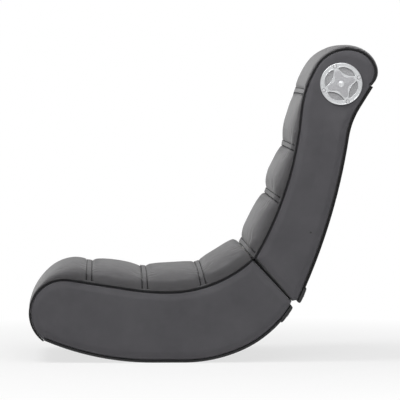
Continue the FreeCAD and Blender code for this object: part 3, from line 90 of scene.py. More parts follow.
def along(outline, distance):
    """Places and headings at distances along an outline. A line goes straight on at its
    heading; on an arc the heading turns in step with the distance, so the place moves by
    radius times the change of (sin, -cos) of the heading."""
    distance = np.asarray(distance, float)
    start, heading, runs = outline
    x, z = np.full(distance.shape, start[0]), np.full(distance.shape, start[1])
    lean = np.full(distance.shape, math.radians(heading))
    at, begun = 0.0, math.radians(heading)
    place = np.array(start, float)
    for run in runs:
        length = run_length(run)
        inside = distance >= at if at else np.ones(distance.shape, bool)
        here = (distance - at)[inside]
        if run[0] == "line":
            x[inside] = place[0] + here * math.cos(begun)
            z[inside] = place[1] + here * math.sin(begun)
            lean[inside] = begun
            place = place + length * np.array((math.cos(begun), math.sin(begun)))
        else:
            side = math.copysign(1.0, run[2])
            turned = begun + side * here / run[1]
            x[inside] = place[0] + side * run[1] * (np.sin(turned) - math.sin(begun))
            z[inside] = place[1] - side * run[1] * (np.cos(turned) - math.cos(begun))
            lean[inside] = turned
            end = begun + math.radians(run[2])
            place = place + side * run[1] * np.array((math.sin(end) - math.sin(begun),
                                                      math.cos(begun) - math.cos(end)))
            begun = end
        at += length
    return x, z, np.degrees(lean)


def ease(value, low, high):
    """0 below low, 1 above high, and a smooth S between: 3u^2 - 2u^3."""
    share = np.clip((np.asarray(value, float) - low) / (high - low), 0, 1)
    return share * share * (3 - 2 * share)


def flowing(knots, values, at):
    """Smooth curve through knots: cubic Hermite pieces whose slope at a knot is the harmonic
    mean of its two chords, or level where they differ in sign, so the curve never overshoots."""
    knots, values, at = np.array(knots, float), np.array(values, float), np.asarray(at, float)
    gap, rise = np.diff(knots), np.diff(values)
    chord = rise / gap
    slope = np.zeros(len(knots))
    same = chord[:-1] * chord[1:] > 0
    both = np.where(same, chord[:-1] + chord[1:], 1.0)
    slope[1:-1] = np.where(same, 2 * chord[:-1] * chord[1:] / both, 0.0)
    slope[0], slope[-1] = chord[0], chord[-1]
    piece = np.clip(np.searchsorted(knots, at, "right") - 1, 0, len(gap) - 1)
    u = np.clip((at - knots[piece]) / gap[piece], 0, 1)
    return (values[piece] * (1 + 2 * u) * (1 - u) ** 2 + gap[piece] * slope[piece] * u * (1 - u) ** 2
            + values[piece + 1] * u ** 2 * (3 - 2 * u) + gap[piece] * slope[piece + 1] * u ** 2 * (u - 1))


# meshes
def sew_mesh(name, points, faces, close=0.02):
    """A mesh object from points in millimetres, its doubles merged and its faces turned out."""
    mesh = bpy.data.meshes.new(name)
    mesh.from_pydata((np.asarray(points, float).reshape(-1, 3) * 0.001).tolist(), [], faces.tolist())
    piece = bpy.data.objects.new(name, mesh)
    bpy.context.scene.collection.objects.link(piece)
    work = bmesh.new()
    work.from_mesh(mesh)
    bmesh.ops.remove_doubles(work, verts=work.verts, dist=close * 0.001)
    bmesh.ops.dissolve_degenerate(work, edges=work.edges, dist=close * 0.0005)
    bmesh.ops.recalc_face_normals(work, faces=work.faces)
    work.to_mesh(mesh)
    work.free()
    mesh.shade_smooth()
    return piece


def grid_faces(rows, columns, ring=False, start=0):
    """Quads of a grid of rows by columns, its columns joined round when ring is set."""
    across = columns if ring else columns - 1
    row, column = np.meshgrid(np.arange(rows - 1), np.arange(across), indexing="ij")
    beside = (column + 1) % columns
    quads = np.stack((row * columns + column, row * columns + beside,
                      (row + 1) * columns + beside, (row + 1) * columns + column), -1)
    return quads.reshape(-1, 4) + start


def wrap(name, points, ring=True):
    """A surface from an array of rows of points, each row joined round."""
    rows, columns = points.shape[:2]
    return sew_mesh(name, points, grid_faces(rows, columns, ring))


def turned(name, profile, centre, axis=(0, 1, 0), count=96):
    """A lathe form: a profile of (radius, height) goes round an axis in equal steps."""
    axis = np.array(axis, float)
    first = np.cross(axis, (0, 0, 1.0)) if abs(axis[2]) < 0.9 else np.array((1.0, 0, 0))
    first = first / np.linalg.norm(first)
    second = np.cross(axis, first)
    round_ = np.linspace(0, 2 * math.pi, count, endpoint=False)
    spoke = np.cos(round_)[:, None] * first + np.sin(round_)[:, None] * second
    profile = np.array(profile, float)
    points = (np.array(centre) + profile[:, 0, None, None] * spoke[None]
              + profile[:, 1, None, None] * axis)
    return wrap(name, points)


def swept(name, line, reach, thick, count=12, round_=False):
    """A cord of oval section carried along a line of points: each ring is the point plus
    cos of the angle times one cross direction and sin times the other."""
    line = np.asarray(line, float)
    if round_:
        ahead = np.roll(line, -1, 0) - np.roll(line, 1, 0)
    else:
        ahead = np.gradient(line, axis=0)
    ahead /= np.linalg.norm(ahead, axis=1)[:, None]
    side = np.cross(ahead, (0, 1.0, 0))
    side /= np.linalg.norm(side, axis=1)[:, None]
    up = np.cross(side, ahead)
    angle = np.linspace(0, 2 * math.pi, count, endpoint=False)
    points = (line[:, None] + reach * np.cos(angle)[None, :, None] * side[:, None]
              + thick * np.sin(angle)[None, :, None] * up[:, None])
    if round_:
        points = np.concatenate((points, points[:1]))
    else:
        first, last = line[:1, None] + 0 * points[:1], line[-1:, None] + 0 * points[-1:]
        points = np.concatenate((first, points, last))
    return wrap(name, points)


def joined(name, pieces):
    """One piece from several, in their places."""
    work = bmesh.new()
    for piece in pieces:
        work.from_mesh(piece.data)
        bpy.data.objects.remove(piece)
    mesh = bpy.data.meshes.new(name)
    work.to_mesh(mesh)
    work.free()
    mesh.shade_smooth()
    whole = bpy.data.objects.new(name, mesh)
    bpy.context.scene.collection.objects.link(whole)
    return whole


def applied(piece, kind, **settings):
    """Add a modifier, apply it, and keep the piece."""
    change = piece.modifiers.new("change", kind)
    for name, value in settings.items():
        setattr(change, name, value)
    graph = bpy.context.evaluated_depsgraph_get()
    mesh = bpy.data.meshes.new_from_object(piece.evaluated_get(graph))
    old = piece.data
    piece.modifiers.clear()
    piece.data = mesh
    bpy.data.meshes.remove(old)
    mesh.shade_smooth()
    return piece


def bored(piece, tool):
    """Cut the tool's form out of a piece."""
    applied(piece, "BOOLEAN", operation="DIFFERENCE", solver="EXACT", object=tool)
    bpy.data.objects.remove(tool)
    return piece


def places(piece):
    """Points of a piece in millimetres."""
    flat = np.zeros(len(piece.data.vertices) * 3)
    piece.data.vertices.foreach_get("co", flat)
    return flat.reshape(-1, 3) * 1000


def put_places(piece, points):
    """Set the points of a piece, in millimetres."""
    piece.data.vertices.foreach_set("co", (points * 0.001).ravel())
    piece.data.update()


# finishes
def finish_of(name, **settings):
    """A material with a principled shader; plain numbers and colours go on its own sockets."""
    material = bpy.data.materials.new(name)
    material.use_nodes = True
    tree = material.node_tree
    tree.nodes.clear()
    shader = tree.nodes.new("ShaderNodeBsdfPrincipled")
    end = tree.nodes.new("ShaderNodeOutputMaterial")
    tree.links.new(shader.outputs[0], end.inputs[0])
    for socket, value in settings.items():
        shader.inputs[socket.replace("_", " ")].default_value = value
    return material, tree, shader


def place_nodes(tree, stretch=(1, 1, 1), turn=(0, 0, 0)):
    """Object coordinates, stretched and turned."""
    where = tree.nodes.new("ShaderNodeTexCoord")
    laid = tree.nodes.new("ShaderNodeMapping")
    laid.inputs["Scale"].default_value = stretch
    laid.inputs["Rotation"].default_value = [math.radians(angle) for angle in turn]
    tree.links.new(where.outputs["Object"], laid.inputs["Vector"])
    return laid.outputs[0]


def noise(tree, place, scale, detail=3.0, rough=0.55):
    """Cloudy noise at so many patches to the metre."""
    made = tree.nodes.new("ShaderNodeTexNoise")
    made.inputs["Scale"].default_value = scale
    made.inputs["Detail"].default_value = detail
    made.inputs["Roughness"].default_value = rough
    tree.links.new(place, made.inputs["Vector"])
    return made.outputs["Fac"]


def between(tree, amount, low, high, value_low, value_high):
    """Carry amount from the range low..high to the range value_low..value_high."""
    made = tree.nodes.new("ShaderNodeMapRange")
    for number, value in enumerate((low, high, value_low, value_high)):
        made.inputs[number + 1].default_value = value
    tree.links.new(amount, made.inputs[0])
    return made.outputs[0]


def blended(tree, amount, first, second):
    """Mix two colours, or a colour and a socket, by amount."""
    made = tree.nodes.new("ShaderNodeMix")
    made.data_type = "RGBA"
    tree.links.new(amount, made.inputs[0])
    for socket, value in ((made.inputs[6], first), (made.inputs[7], second)):
        if isinstance(value, bpy.types.NodeSocket):
            tree.links.new(value, socket)
        else:
            socket.default_value = (*value, 1.0)
    return made.outputs[2]


def sum_of(tree, first, second, kind="ADD"):
    """Two amounts added, multiplied or otherwise brought together."""
    made = tree.nodes.new("ShaderNodeMath")
    made.operation = kind
    for socket, value in zip(made.inputs, (first, second)):
        if isinstance(value, bpy.types.NodeSocket):
            tree.links.new(value, socket)
        else:
            socket.default_value = value
    return made.outputs[0]


def raised(tree, shader, height, strength, depth):
    """Bump from a height."""
    made = tree.nodes.new("ShaderNodeBump")
    made.inputs["Strength"].default_value = strength
    made.inputs["Distance"].default_value = depth
    tree.links.new(height, made.inputs["Height"])
    tree.links.new(made.outputs[0], shader.inputs["Normal"])


def waves(tree, place, scale, direction, distort=0.0):
    """Bands at right angles to a direction."""
    made = tree.nodes.new("ShaderNodeTexWave")
    made.bands_direction = direction
    made.inputs["Scale"].default_value = scale
    made.inputs["Distortion"].default_value = distort
    tree.links.new(place, made.inputs["Vector"])
    return made.outputs["Fac"]


def cloth_finish(name, dull, bright, sheen, roughness=0.62, creases=0.5):
    """Smooth coated upholstery: fine grain pores, soft cloudy wear and shallow creases."""
    made, tree, shader = finish_of(name, Sheen_Weight=sheen, Sheen_Roughness=0.45,
                                   Specular_IOR_Level=0.42, Coat_Weight=0.05, Coat_Roughness=0.5)
    place = place_nodes(tree)
    wear = noise(tree, place, 9.0, 4.0)
    pores = tree.nodes.new("ShaderNodeTexVoronoi")
    pores.inputs["Scale"].default_value = 1100.0
    tree.links.new(place, pores.inputs["Vector"])
    fine = noise(tree, place, 620.0, 2.0)
    tree.links.new(blended(tree, between(tree, wear, 0.3, 0.7, 0, 1), dull, bright),
                   shader.inputs["Base Color"])
    tree.links.new(between(tree, noise(tree, place, 45.0), 0.3, 0.7, roughness - 0.07,
                           roughness + 0.07), shader.inputs["Roughness"])
    crease = noise(tree, place_nodes(tree, (1.0, 0.55, 1.0)), 34.0, 2.5, 0.5)
    grain = sum_of(tree, sum_of(tree, pores.outputs["Distance"], 0.05, "MULTIPLY"),
                   sum_of(tree, fine, 0.05, "MULTIPLY"))
    raised(tree, shader, sum_of(tree, grain, sum_of(tree, crease, creases, "MULTIPLY")), 0.55, 0.0012)
    return made


def woven_finish(name, dull, bright, threads=420.0, sheen=0.04):
    """Plain weave seen close: crossed threads that rise and fall, darker in the gaps."""
    made, tree, shader = finish_of(name, Roughness=0.82, Sheen_Weight=sheen, Sheen_Roughness=0.5,
                                   Specular_IOR_Level=0.3)
    place = place_nodes(tree)
    across = waves(tree, place, threads, "Y")
    up = waves(tree, place, threads, "Z")
    weave = sum_of(tree, across, up, "MULTIPLY")
    worn = blended(tree, noise(tree, place, 14.0), dull, bright)
    dark = tuple(value * 0.55 for value in dull)
    tree.links.new(blended(tree, between(tree, weave, 0, 0.5, 0, 1), dark, worn),
                   shader.inputs["Base Color"])
    raised(tree, shader, weave, 0.5, 0.0004)
    return made


def board_finish(name, dull, bright, edge):
    """Black covered board: grained film, faint long scuffs and rubbed pale patches."""
    made, tree, shader = finish_of(name, Specular_IOR_Level=0.4)
    place = place_nodes(tree)
    scuff = noise(tree, place_nodes(tree, (1.0, 14.0, 1.0)), 22.0, 5.0, 0.7)
    patch = noise(tree, place, 12.0, 3.0)
    rubbed = between(tree, sum_of(tree, scuff, patch, "MULTIPLY"), 0.3, 0.46, 0, 1)
    base = blended(tree, patch, dull, bright)
    tree.links.new(blended(tree, sum_of(tree, rubbed, 0.35, "MULTIPLY"), base, edge),
                   shader.inputs["Base Color"])
    tree.links.new(between(tree, scuff, 0.2, 0.8, 0.62, 0.42), shader.inputs["Roughness"])
    raised(tree, shader, noise(tree, place, 900.0, 2.0), 0.3, 0.0004)
    return made


def moulded_finish(name, dull, bright, roughness, grain=700.0, depth=0.0002):
    """Moulded plastic: fine spark grain, slight change of colour and handling marks."""
    made, tree, shader = finish_of(name, Specular_IOR_Level=0.5)
    place = place_nodes(tree)
    tree.links.new(blended(tree, noise(tree, place, 20.0, 4.0), dull, bright),
                   shader.inputs["Base Color"])
    marks = noise(tree, place, 130.0, 5.0, 0.7)
    tree.links.new(between(tree, marks, 0.35, 0.7, roughness - 0.06, roughness + 0.09),
                   shader.inputs["Roughness"])
    raised(tree, shader, noise(tree, place, grain, 3.0), 0.35, depth)
    return made


def metal_finish(name, dull, bright, roughness, brush=(1.0, 1.0, 1.0), metal=1.0, rust=None):
    """Bare or plated metal: brush lines along one way, cloudy plating and worn patches."""
    made, tree, shader = finish_of(name, Metallic=metal)
    brushed = noise(tree, place_nodes(tree, brush), 260.0, 4.0, 0.65)
    patch = noise(tree, place_nodes(tree), 38.0, 4.0, 0.6)
    colour = blended(tree, patch, dull, bright)
    if rust:
        colour = blended(tree, between(tree, patch, 0.6, 0.72, 0, 0.8), colour, rust)
    tree.links.new(colour, shader.inputs["Base Color"])
    tree.links.new(between(tree, brushed, 0.3, 0.7, roughness - 0.08, roughness + 0.12),
                   shader.inputs["Roughness"])
    raised(tree, shader, brushed, 0.25, 0.0001)
    return made


def plywood_finish(name, dark=(0.42, 0.27, 0.13), pale=(0.62, 0.45, 0.26), glue=(0.2, 0.12, 0.06)):
    """Birch plywood: long grain streaks, thin glue lines between the plies, and painted shade: the
    ends that meet at the fold turn black within 12 mm of its plane, where the gap lies in shade."""
    made, tree, shader = finish_of(name, Roughness=0.7)
    streak = noise(tree, place_nodes(tree, (4.0, 30.0, 4.0)), 9.0, 6.0, 0.65)
    plies = waves(tree, place_nodes(tree), 230.0, "Y", 0.5)
    wood = blended(tree, between(tree, streak, 0.3, 0.7, 0, 1), dark, pale)
    board = blended(tree, between(tree, plies, 0.0, 0.25, 0.55, 0), wood, glue)
    across_fold = tree.nodes.new("ShaderNodeVectorMath")
    across_fold.operation = "DOT_PRODUCT"
    across_fold.inputs[1].default_value = FOLD_ACROSS
    tree.links.new(place_nodes(tree), across_fold.inputs[0])
    fold_at = (FOLD_PIVOT[0] * FOLD_ACROSS[0] + FOLD_PIVOT[1] * FOLD_ACROSS[2]) * 0.001
    from_fold = sum_of(tree, across_fold.outputs["Value"], fold_at, "SUBTRACT")
    from_fold = sum_of(tree, from_fold, 0, "ABSOLUTE")
    # painted shade: the wood goes black within 12 to 16 mm of the fold's plane, for the shaded gap between
    # the halves
    fold_gap_shade = between(tree, from_fold, 0.012, 0.016, 1, 0)
    tree.links.new(blended(tree, fold_gap_shade, board, (0.008, 0.008, 0.008)), shader.inputs["Base Color"])
    raised(tree, shader, streak, 0.4, 0.0006)
    return made


def net_finish(name, thread, gap, pitch):
    """Fine speaker net: a round hole in every cell of a slanted grid."""
    made, tree, shader = finish_of(name, Roughness=0.55, Metallic=0.3)
    place = place_nodes(tree, turn=(0, 45, 0))
    along_x = waves(tree, place, pitch, "X")
    along_z = waves(tree, place, pitch, "Z")
    web = between(tree, sum_of(tree, along_x, along_z, "MAXIMUM"), 0.55, 0.8, 0, 1)
    soft = blended(tree, noise(tree, place, 60.0), thread, tuple(value * 0.86 for value in thread))
    tree.links.new(blended(tree, web, gap, soft), shader.inputs["Base Color"])
    raised(tree, shader, web, 0.5, 0.0002)
    return made


def laminate_finish(name):
    """Circuit laminate: green lacquer over a faint glass weave, with tinned spots."""
    made, tree, shader = finish_of(name, Coat_Weight=0.4, Coat_Roughness=0.2)
    place = place_nodes(tree)
    weave = sum_of(tree, waves(tree, place, 300.0, "X"), waves(tree, place, 300.0, "Z"), "MULTIPLY")
    spots = tree.nodes.new("ShaderNodeTexVoronoi")
    spots.inputs["Scale"].default_value = 160.0
    tree.links.new(place, spots.inputs["Vector"])
    lacquer = blended(tree, weave, (0.012, 0.09, 0.035), (0.02, 0.14, 0.05))
    pads = between(tree, spots.outputs["Distance"], 0.22, 0.26, 1, 0)
    tree.links.new(blended(tree, pads, lacquer, (0.55, 0.55, 0.5)), shader.inputs["Base Color"])
    tree.links.new(between(tree, pads, 0, 1, 0.5, 0.3), shader.inputs["Roughness"])
    raised(tree, shader, pads, 0.4, 0.0003)
    return made


PAD_CLOTH = cloth_finish("pad_cloth", (0.068, 0.066, 0.069), (0.086, 0.084, 0.088), 0.3)
SIDE_CLOTH = cloth_finish("side_cloth", (0.062, 0.060, 0.067), (0.078, 0.076, 0.083), 0.15, 0.66, 0.2)
SEAM_CLOTH = cloth_finish("seam_cloth", (0.064, 0.062, 0.065), (0.082, 0.080, 0.084), 0.3, 0.66, 0.7)
PIPING_CLOTH = woven_finish("piping_cloth", (0.012, 0.012, 0.013), (0.020, 0.020, 0.022), 520.0)
THREAD = woven_finish("seam_thread", (0.004, 0.004, 0.005), (0.009, 0.009, 0.010), 900.0, 0.0)
BACK_CLOTH = woven_finish("back_cloth", (0.006, 0.006, 0.007), (0.012, 0.012, 0.013), 260.0)
PLYWOOD = plywood_finish("birch_plywood")
STAINED_BOARD = plywood_finish("stained_frame_board", (0.010, 0.009, 0.008), (0.022, 0.019, 0.017),
                               (0.006, 0.006, 0.006))
BLACK_BOARD = board_finish("black_rocker_board", (0.005, 0.005, 0.006), (0.010, 0.010, 0.011),
                           (0.035, 0.035, 0.036))
BUMPER = moulded_finish("bumper_plastic", (0.006, 0.006, 0.007), (0.013, 0.013, 0.014), 0.42)
BOLT_BLACK = metal_finish("black_bolt", (0.02, 0.02, 0.021), (0.045, 0.045, 0.046), 0.4, metal=0.6)
BALANCE_STEEL = metal_finish("balance_bar_steel", (0.16, 0.15, 0.15), (0.3, 0.29, 0.28), 0.5,
                             (1, 0.05, 1), rust=(0.18, 0.07, 0.03))
SCREW_STEEL = metal_finish("zinc_screws", (0.52, 0.52, 0.54), (0.74, 0.74, 0.75), 0.3)
HINGE_STEEL = metal_finish("plated_hinge_steel", (0.45, 0.44, 0.42), (0.66, 0.65, 0.62), 0.34,
                           (1, 0.06, 1))
STOP_RUBBER = moulded_finish("stop_rubber", (0.012, 0.012, 0.012), (0.026, 0.026, 0.026), 0.8, 300.0,
                             0.0006)
SILVER = metal_finish("silver_paint", (0.54, 0.55, 0.56), (0.66, 0.67, 0.68), 0.32, metal=0.85)
PIERCED = net_finish("pierced_plate", (0.58, 0.58, 0.60), (0.27, 0.27, 0.28), 150.0)
SPEAKER_NET = net_finish("speaker_net", (0.56, 0.56, 0.57), (0.13, 0.13, 0.14), 230.0)
BASKET_STEEL = metal_finish("basket_steel", (0.2, 0.2, 0.21), (0.34, 0.34, 0.35), 0.4)
FERRITE = moulded_finish("magnet_ferrite", (0.02, 0.02, 0.022), (0.05, 0.048, 0.047), 0.55, 240.0,
                         0.0005)
CONE_PAPER = moulded_finish("cone_paper", (0.014, 0.014, 0.014), (0.035, 0.034, 0.033), 0.85, 420.0,
                            0.0008)
PANEL_PLASTIC = moulded_finish("panel_plastic", (0.012, 0.012, 0.013), (0.02, 0.02, 0.021), 0.45)
SOCKET_PLASTIC = moulded_finish("socket_plastic", (0.006, 0.006, 0.007), (0.014, 0.014, 0.015), 0.35)
KNOB_PLASTIC = moulded_finish("knob_plastic", (0.016, 0.016, 0.017), (0.03, 0.03, 0.031), 0.5)
SWITCH_PLASTIC = moulded_finish("switch_plastic", (0.25, 0.016, 0.012), (0.34, 0.024, 0.018), 0.3)
MARK_PAINT = moulded_finish("mark_paint", (0.62, 0.62, 0.62), (0.76, 0.76, 0.76), 0.5)
LAMINATE = laminate_finish("circuit_laminate")
CASE_STEEL = metal_finish("amplifier_case_steel", (0.4, 0.4, 0.41), (0.58, 0.58, 0.59), 0.38,
                          (0.05, 1, 1))

NODE_FINISHES = {
    "seat_side_panel": SIDE_CLOTH, "back_side_panel": SIDE_CLOTH, "_pad": PAD_CLOTH,
    "_piping": PIPING_CLOTH, "back_board": BACK_CLOTH, "frame_board": STAINED_BOARD, "_rail": PLYWOOD,
    "_deck": PLYWOOD, "end_panel": BACK_CLOTH, "rocker_board": BLACK_BOARD, "end_bumper": BUMPER,
    "balance_bar": BALANCE_STEEL, "screws": SCREW_STEEL, "side_bolts": BOLT_BLACK,
    "hinge_pins": SCREW_STEEL, "hinge_leaf": HINGE_STEEL, "fold_stop_pads": STOP_RUBBER,
    "speaker_grille": SILVER, "speaker_meshes": SPEAKER_NET, "speaker_baskets": BASKET_STEEL,
    "speaker_magnets": FERRITE, "speaker_cone": CONE_PAPER, "control_plate": PANEL_PLASTIC,
    "control_pots": SOCKET_PLASTIC, "audio_jacks": SOCKET_PLASTIC, "power_inlet": SOCKET_PLASTIC,
    "switch_case": SOCKET_PLASTIC, "_knob": KNOB_PLASTIC, "power_switch": SWITCH_PLASTIC,
    "circuit_board": LAMINATE, "amplifier_box": CASE_STEEL,
}


def dress(piece, material):
    """Give a piece one finish."""
    piece.data.materials.clear()
    piece.data.materials.append(material)
    return piece


for node_name, node_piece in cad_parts.items():
    named = [word for word in NODE_FINISHES if word in node_name]
    node_finish = NODE_FINISHES[max(named, key=len)]
    if node_piece.material_slots:
        for place_slot in node_piece.material_slots:
            place_slot.link = "OBJECT"
            place_slot.material = node_finish
    else:
        node_piece.data.materials.append(node_finish)


# padded covers
PAD_WIDTH = 220.3
SEAM_WIDTH = 213.4
FOOT_WIDTH = 209.8
SEAM_REACH = 5.2
PAD_FILL = 0.8
SEAT_LENGTH = outline_length(SEAT_TOP)
BACK_LENGTH = outline_length(BACK_FRONT)
FOLD_TILT_SEAT = FOLD_NORMAL - 42.35 - 90.0
FOLD_TILT_BACK = FOLD_NORMAL - 59.5 - 90.0


def cover_point(outline, tilts, distance, side, lift):
    """A point of a cover: the outline at a distance, then out by lift along the outline's
    normal turned by the tilt that flows between the seams."""
    x, z, lean = along(outline, distance)
    out = np.radians(lean + 90.0 + flowing(*tilts, distance))
    return np.stack((x + lift * np.cos(out), side, z + lift * np.sin(out)), -1)


def across_cover(share, height, width, foot=FOOT_WIDTH):
    """Section across the chair, share 0..1 from foot to foot. Each flank is a quarter oval that
    swells out from the foot to the full width at 0.42 of the height. Over it goes an oval of
    power 2.7: side = width cos(q)^(2/2.7), lift = rise + (height - rise) sin(q)^(2/2.7)."""
    half = 1 - np.abs(2 * share - 1)
    way = np.where(share < 0.5, -1.0, 1.0)
    low = 0.14
    flank = np.clip(half / low, 0, 1) * math.pi / 2
    over = np.clip((half - low) / (1 - low), 0, 1)
    over = over ** 1.35 / (over ** 1.35 + (1 - over) ** 1.35)
    over = over * math.pi / 2
    rise = 0.42 * height
    reach = np.where(half <= low, foot + (width - foot) * np.sin(flank),
                     width * np.cos(over) ** (2 / 2.7))
    lift = np.where(half <= low, rise * (1 - np.cos(flank)),
                    rise + (height - rise) * np.sin(over) ** (2 / 2.7))
    return way * reach, lift


SEAT_TILTS = ([0, ROLL_LEAD + 40, ROLL_LEAD + 191, ROLL_LEAD + 329, ROLL_LEAD + 474,
               SEAT_LENGTH - 60, SEAT_LENGTH],
              [0, 0, 8, 8, -4, FOLD_TILT_SEAT, FOLD_TILT_SEAT])
BACK_TILTS = ([0, 50, 90, 287, 428, 520, BACK_LENGTH],
              [FOLD_TILT_BACK, FOLD_TILT_BACK, -17, -17, -5, 0, 0])


FULL = (0.0, 0.085, 0.25, 0.5, 0.75, 0.915, 1.0)
FULL_RISE = (0.0, 0.62, 0.94, 1.0, 0.94, 0.62, 0.0)


def full_puff(start, end, first, top, last):
    """Crown line of a puff that is low at both seams and full between them."""
    return ([start + (end - start) * share for share in FULL],
            [first + (last - first) * share + (top - first - (last - first) * share) * rise
             for share, rise in zip(FULL, FULL_RISE)])


def shaped_puff(start, end, shares, heights):
    """Crown line of a puff from its heights at shares of its length."""
    return [start + (end - start) * share for share in shares], list(heights)


SEAT_SEAMS = (ROLL_LEAD + 191, ROLL_LEAD + 329, ROLL_LEAD + 474)
BACK_SEAMS = (153, 287, 428)
FRONT_CROWNS = ([2.0, 9.0, ROLL_LEAD / 2, ROLL_LEAD, ROLL_LEAD + 38, ROLL_LEAD + 68, ROLL_LEAD + 95,
                 ROLL_LEAD + 120, ROLL_LEAD + 145, ROLL_LEAD + 164, ROLL_LEAD + 179,
                 SEAT_SEAMS[0] - SEAM_REACH],
                [2.4, 4.4, 4.8, 5.4, 6.9, 10.6, 19.0, 31.0, 41.6, 45.6, 45.4, 40.2])
rear_end = SEAT_LENGTH + 1.4
REAR_CROWNS = ([SEAT_SEAMS[2] + SEAM_REACH, SEAT_SEAMS[2] + 14, SEAT_SEAMS[2] + 36, rear_end - 62,
                rear_end - 28, rear_end - 12, rear_end - 4, rear_end],
               [48.2, 53.6, 56.0, 57.2, 57.6, 55.8, 51.6, 41.0])
FOLD_SEAM_AT = 4.6
FOLD_SEAM_HEIGHT = 40.0
LUMBAR_CROWNS = ([FOLD_SEAM_AT + SEAM_REACH, 15.0, 21.0, 40.0, 72.0, 108.0, 137.0,
                  BACK_SEAMS[0] - SEAM_REACH],
                 [37.4, 43.8, 46.6, 47.4, 46.7, 45.0, 39.6, 31.0])
SHOULDER_CROWNS = shaped_puff(BACK_SEAMS[0] + SEAM_REACH, BACK_SEAMS[1] - SEAM_REACH,
                              (0.0, 0.07, 0.17, 0.3, 0.55, 0.8, 0.93, 1.0),
                              (31.0, 39.6, 43.2, 42.6, 36.4, 30.4, 25.4, 19.8))
NECK_CROWNS = shaped_puff(BACK_SEAMS[1] + SEAM_REACH, BACK_SEAMS[2] - SEAM_REACH,
                          (0.0, 0.07, 0.19, 0.34, 0.5, 0.64, 0.8, 0.92, 1.0),
                          (19.8, 24.6, 26.8, 24.6, 19.8, 16.2, 12.8, 9.6, 6.0))
HEAD_SHARES = (0.0, 0.05, 0.14, 0.27, 0.4, 0.52, 0.63, 0.73, 0.82, 0.91, 1.0)
HEAD_RISES = (0.0, 0.56, 0.72, 0.48, 0.5, 1.3, 1.15, 1.05, 0.8, 0.3, -1.36)
head_start = BACK_SEAMS[2] + SEAM_REACH
HEAD_CROWNS = ([head_start + (BACK_LENGTH - 2 - head_start) * share for share in HEAD_SHARES],
               [6.0] + [8.6 + 2.6 * rise for rise in HEAD_RISES[1:]])


def pad_form(name, outline, tilts, crowns, start_full, end_full, shrink):
    """A padded cover: rows of sections along the outline, each as high as the crown line says.
    The width swells with the crown's own puff. Both ends close with three rows that draw in to
    the middle of the section, and the foot line is closed by the flat underside."""
    start, end = crowns[0][0], crowns[0][-1]
    rows, columns = 72, 96
    share = np.linspace(0, 1, rows)
    share = 0.6 * (0.5 - 0.5 * np.cos(math.pi * share)) + 0.4 * share
    distance = start + (end - start) * share
    height = flowing(*crowns, distance) - shrink
    puffed = ((1 - (1 - np.clip(share * (end - start) / 34, 0, 1)) ** 2.2 if start_full else 1)
              * (1 - (1 - np.clip((1 - share) * (end - start) / 34, 0, 1)) ** 2.2 if end_full else 1))
    width = SEAM_WIDTH + (PAD_WIDTH - SEAM_WIDTH) * puffed - shrink
    width = np.minimum(width, FOOT_WIDTH + 0.35 * height)
    low_share = np.linspace(0, 1, columns)
    side, lift = across_cover(low_share[None, :], height[:, None], width[:, None] + 0 * low_share)
    points = cover_point(outline, tilts, distance[:, None] + 0 * lift, side, lift)
    middle = cover_point(outline, tilts, distance, np.zeros(rows), height * 0.4)[:, None]
    caps = []
    for row, shares in ((0, (0.0, 0.55, 0.93)), (-1, (0.93, 0.55, 0.0))):
        caps.append(np.stack([middle[row] + (points[row] - middle[row]) * part for part in shares]))
    return wrap(name, np.concatenate((caps[0], points, caps[1])))


def lift_over(points, outline, step=2.5):
    """How far points stand over an outline and where along it, by the nearest of its samples."""
    distance = np.arange(0, outline_length(outline), step)
    x, z, _ = along(outline, distance)
    flat = points[:, (0, 2)]
    gap = ((flat[:, None] - np.stack((x, z), -1)[None]) ** 2).sum(-1)
    return np.sqrt(gap.min(1)), distance[gap.argmin(1)]


def swell(pad, outline, crowns, most):
    """Stuff a pad: remesh it evenly, blow it up as cloth that is held along its foot and its
    seams, keep each point's move under a limit, and smooth it by one subdivision."""
    applied(pad, "REMESH", mode="VOXEL", voxel_size=0.0052, use_smooth_shade=True)
    before = places(pad)
    lift, distance = lift_over(before, outline)
    foot = ease(lift, 3.0, 11.0)
    ends = ease(distance - crowns[0][0], 2.0, 13.0) * ease(crowns[0][-1] - distance, 2.0, 13.0)
    free = foot * ends
    group = pad.vertex_groups.new(name="held")
    levels = np.round((1 - free) * 10).astype(int)
    for level in range(1, 11):
        group.add(np.nonzero(levels == level)[0].tolist(), level / 10, "REPLACE")
    cloth = pad.modifiers.new("stuffing", "CLOTH")
    cloth.settings.use_pressure = True
    cloth.settings.uniform_pressure_force = 4.0
    cloth.settings.vertex_group_mass = "held"
    cloth.settings.pin_stiffness = 1.0
    cloth.settings.tension_stiffness = 22
    cloth.settings.compression_stiffness = 12
    cloth.settings.bending_stiffness = 0.3
    cloth.settings.effector_weights.gravity = 0
    frames = 20
    cloth.point_cache.frame_start, cloth.point_cache.frame_end = 1, frames
    for moment in range(1, frames + 1):
        bpy.context.scene.frame_set(moment)
    graph = bpy.context.evaluated_depsgraph_get()
    blown = pad.evaluated_get(graph).to_mesh()
    after = np.zeros(len(blown.vertices) * 3)
    blown.vertices.foreach_get("co", after)
    move = after.reshape(-1, 3) * 1000 - before
    length = np.linalg.norm(move, axis=1)[:, None]
    move = move * np.minimum(1, most / np.maximum(length, 1e-6)) * free[:, None]
    pad.modifiers.clear()
    pad.vertex_groups.clear()
    put_places(pad, before + move)
    bpy.context.scene.frame_set(1)
    applied(pad, "SUBSURF", levels=1, render_levels=1)
    return pad


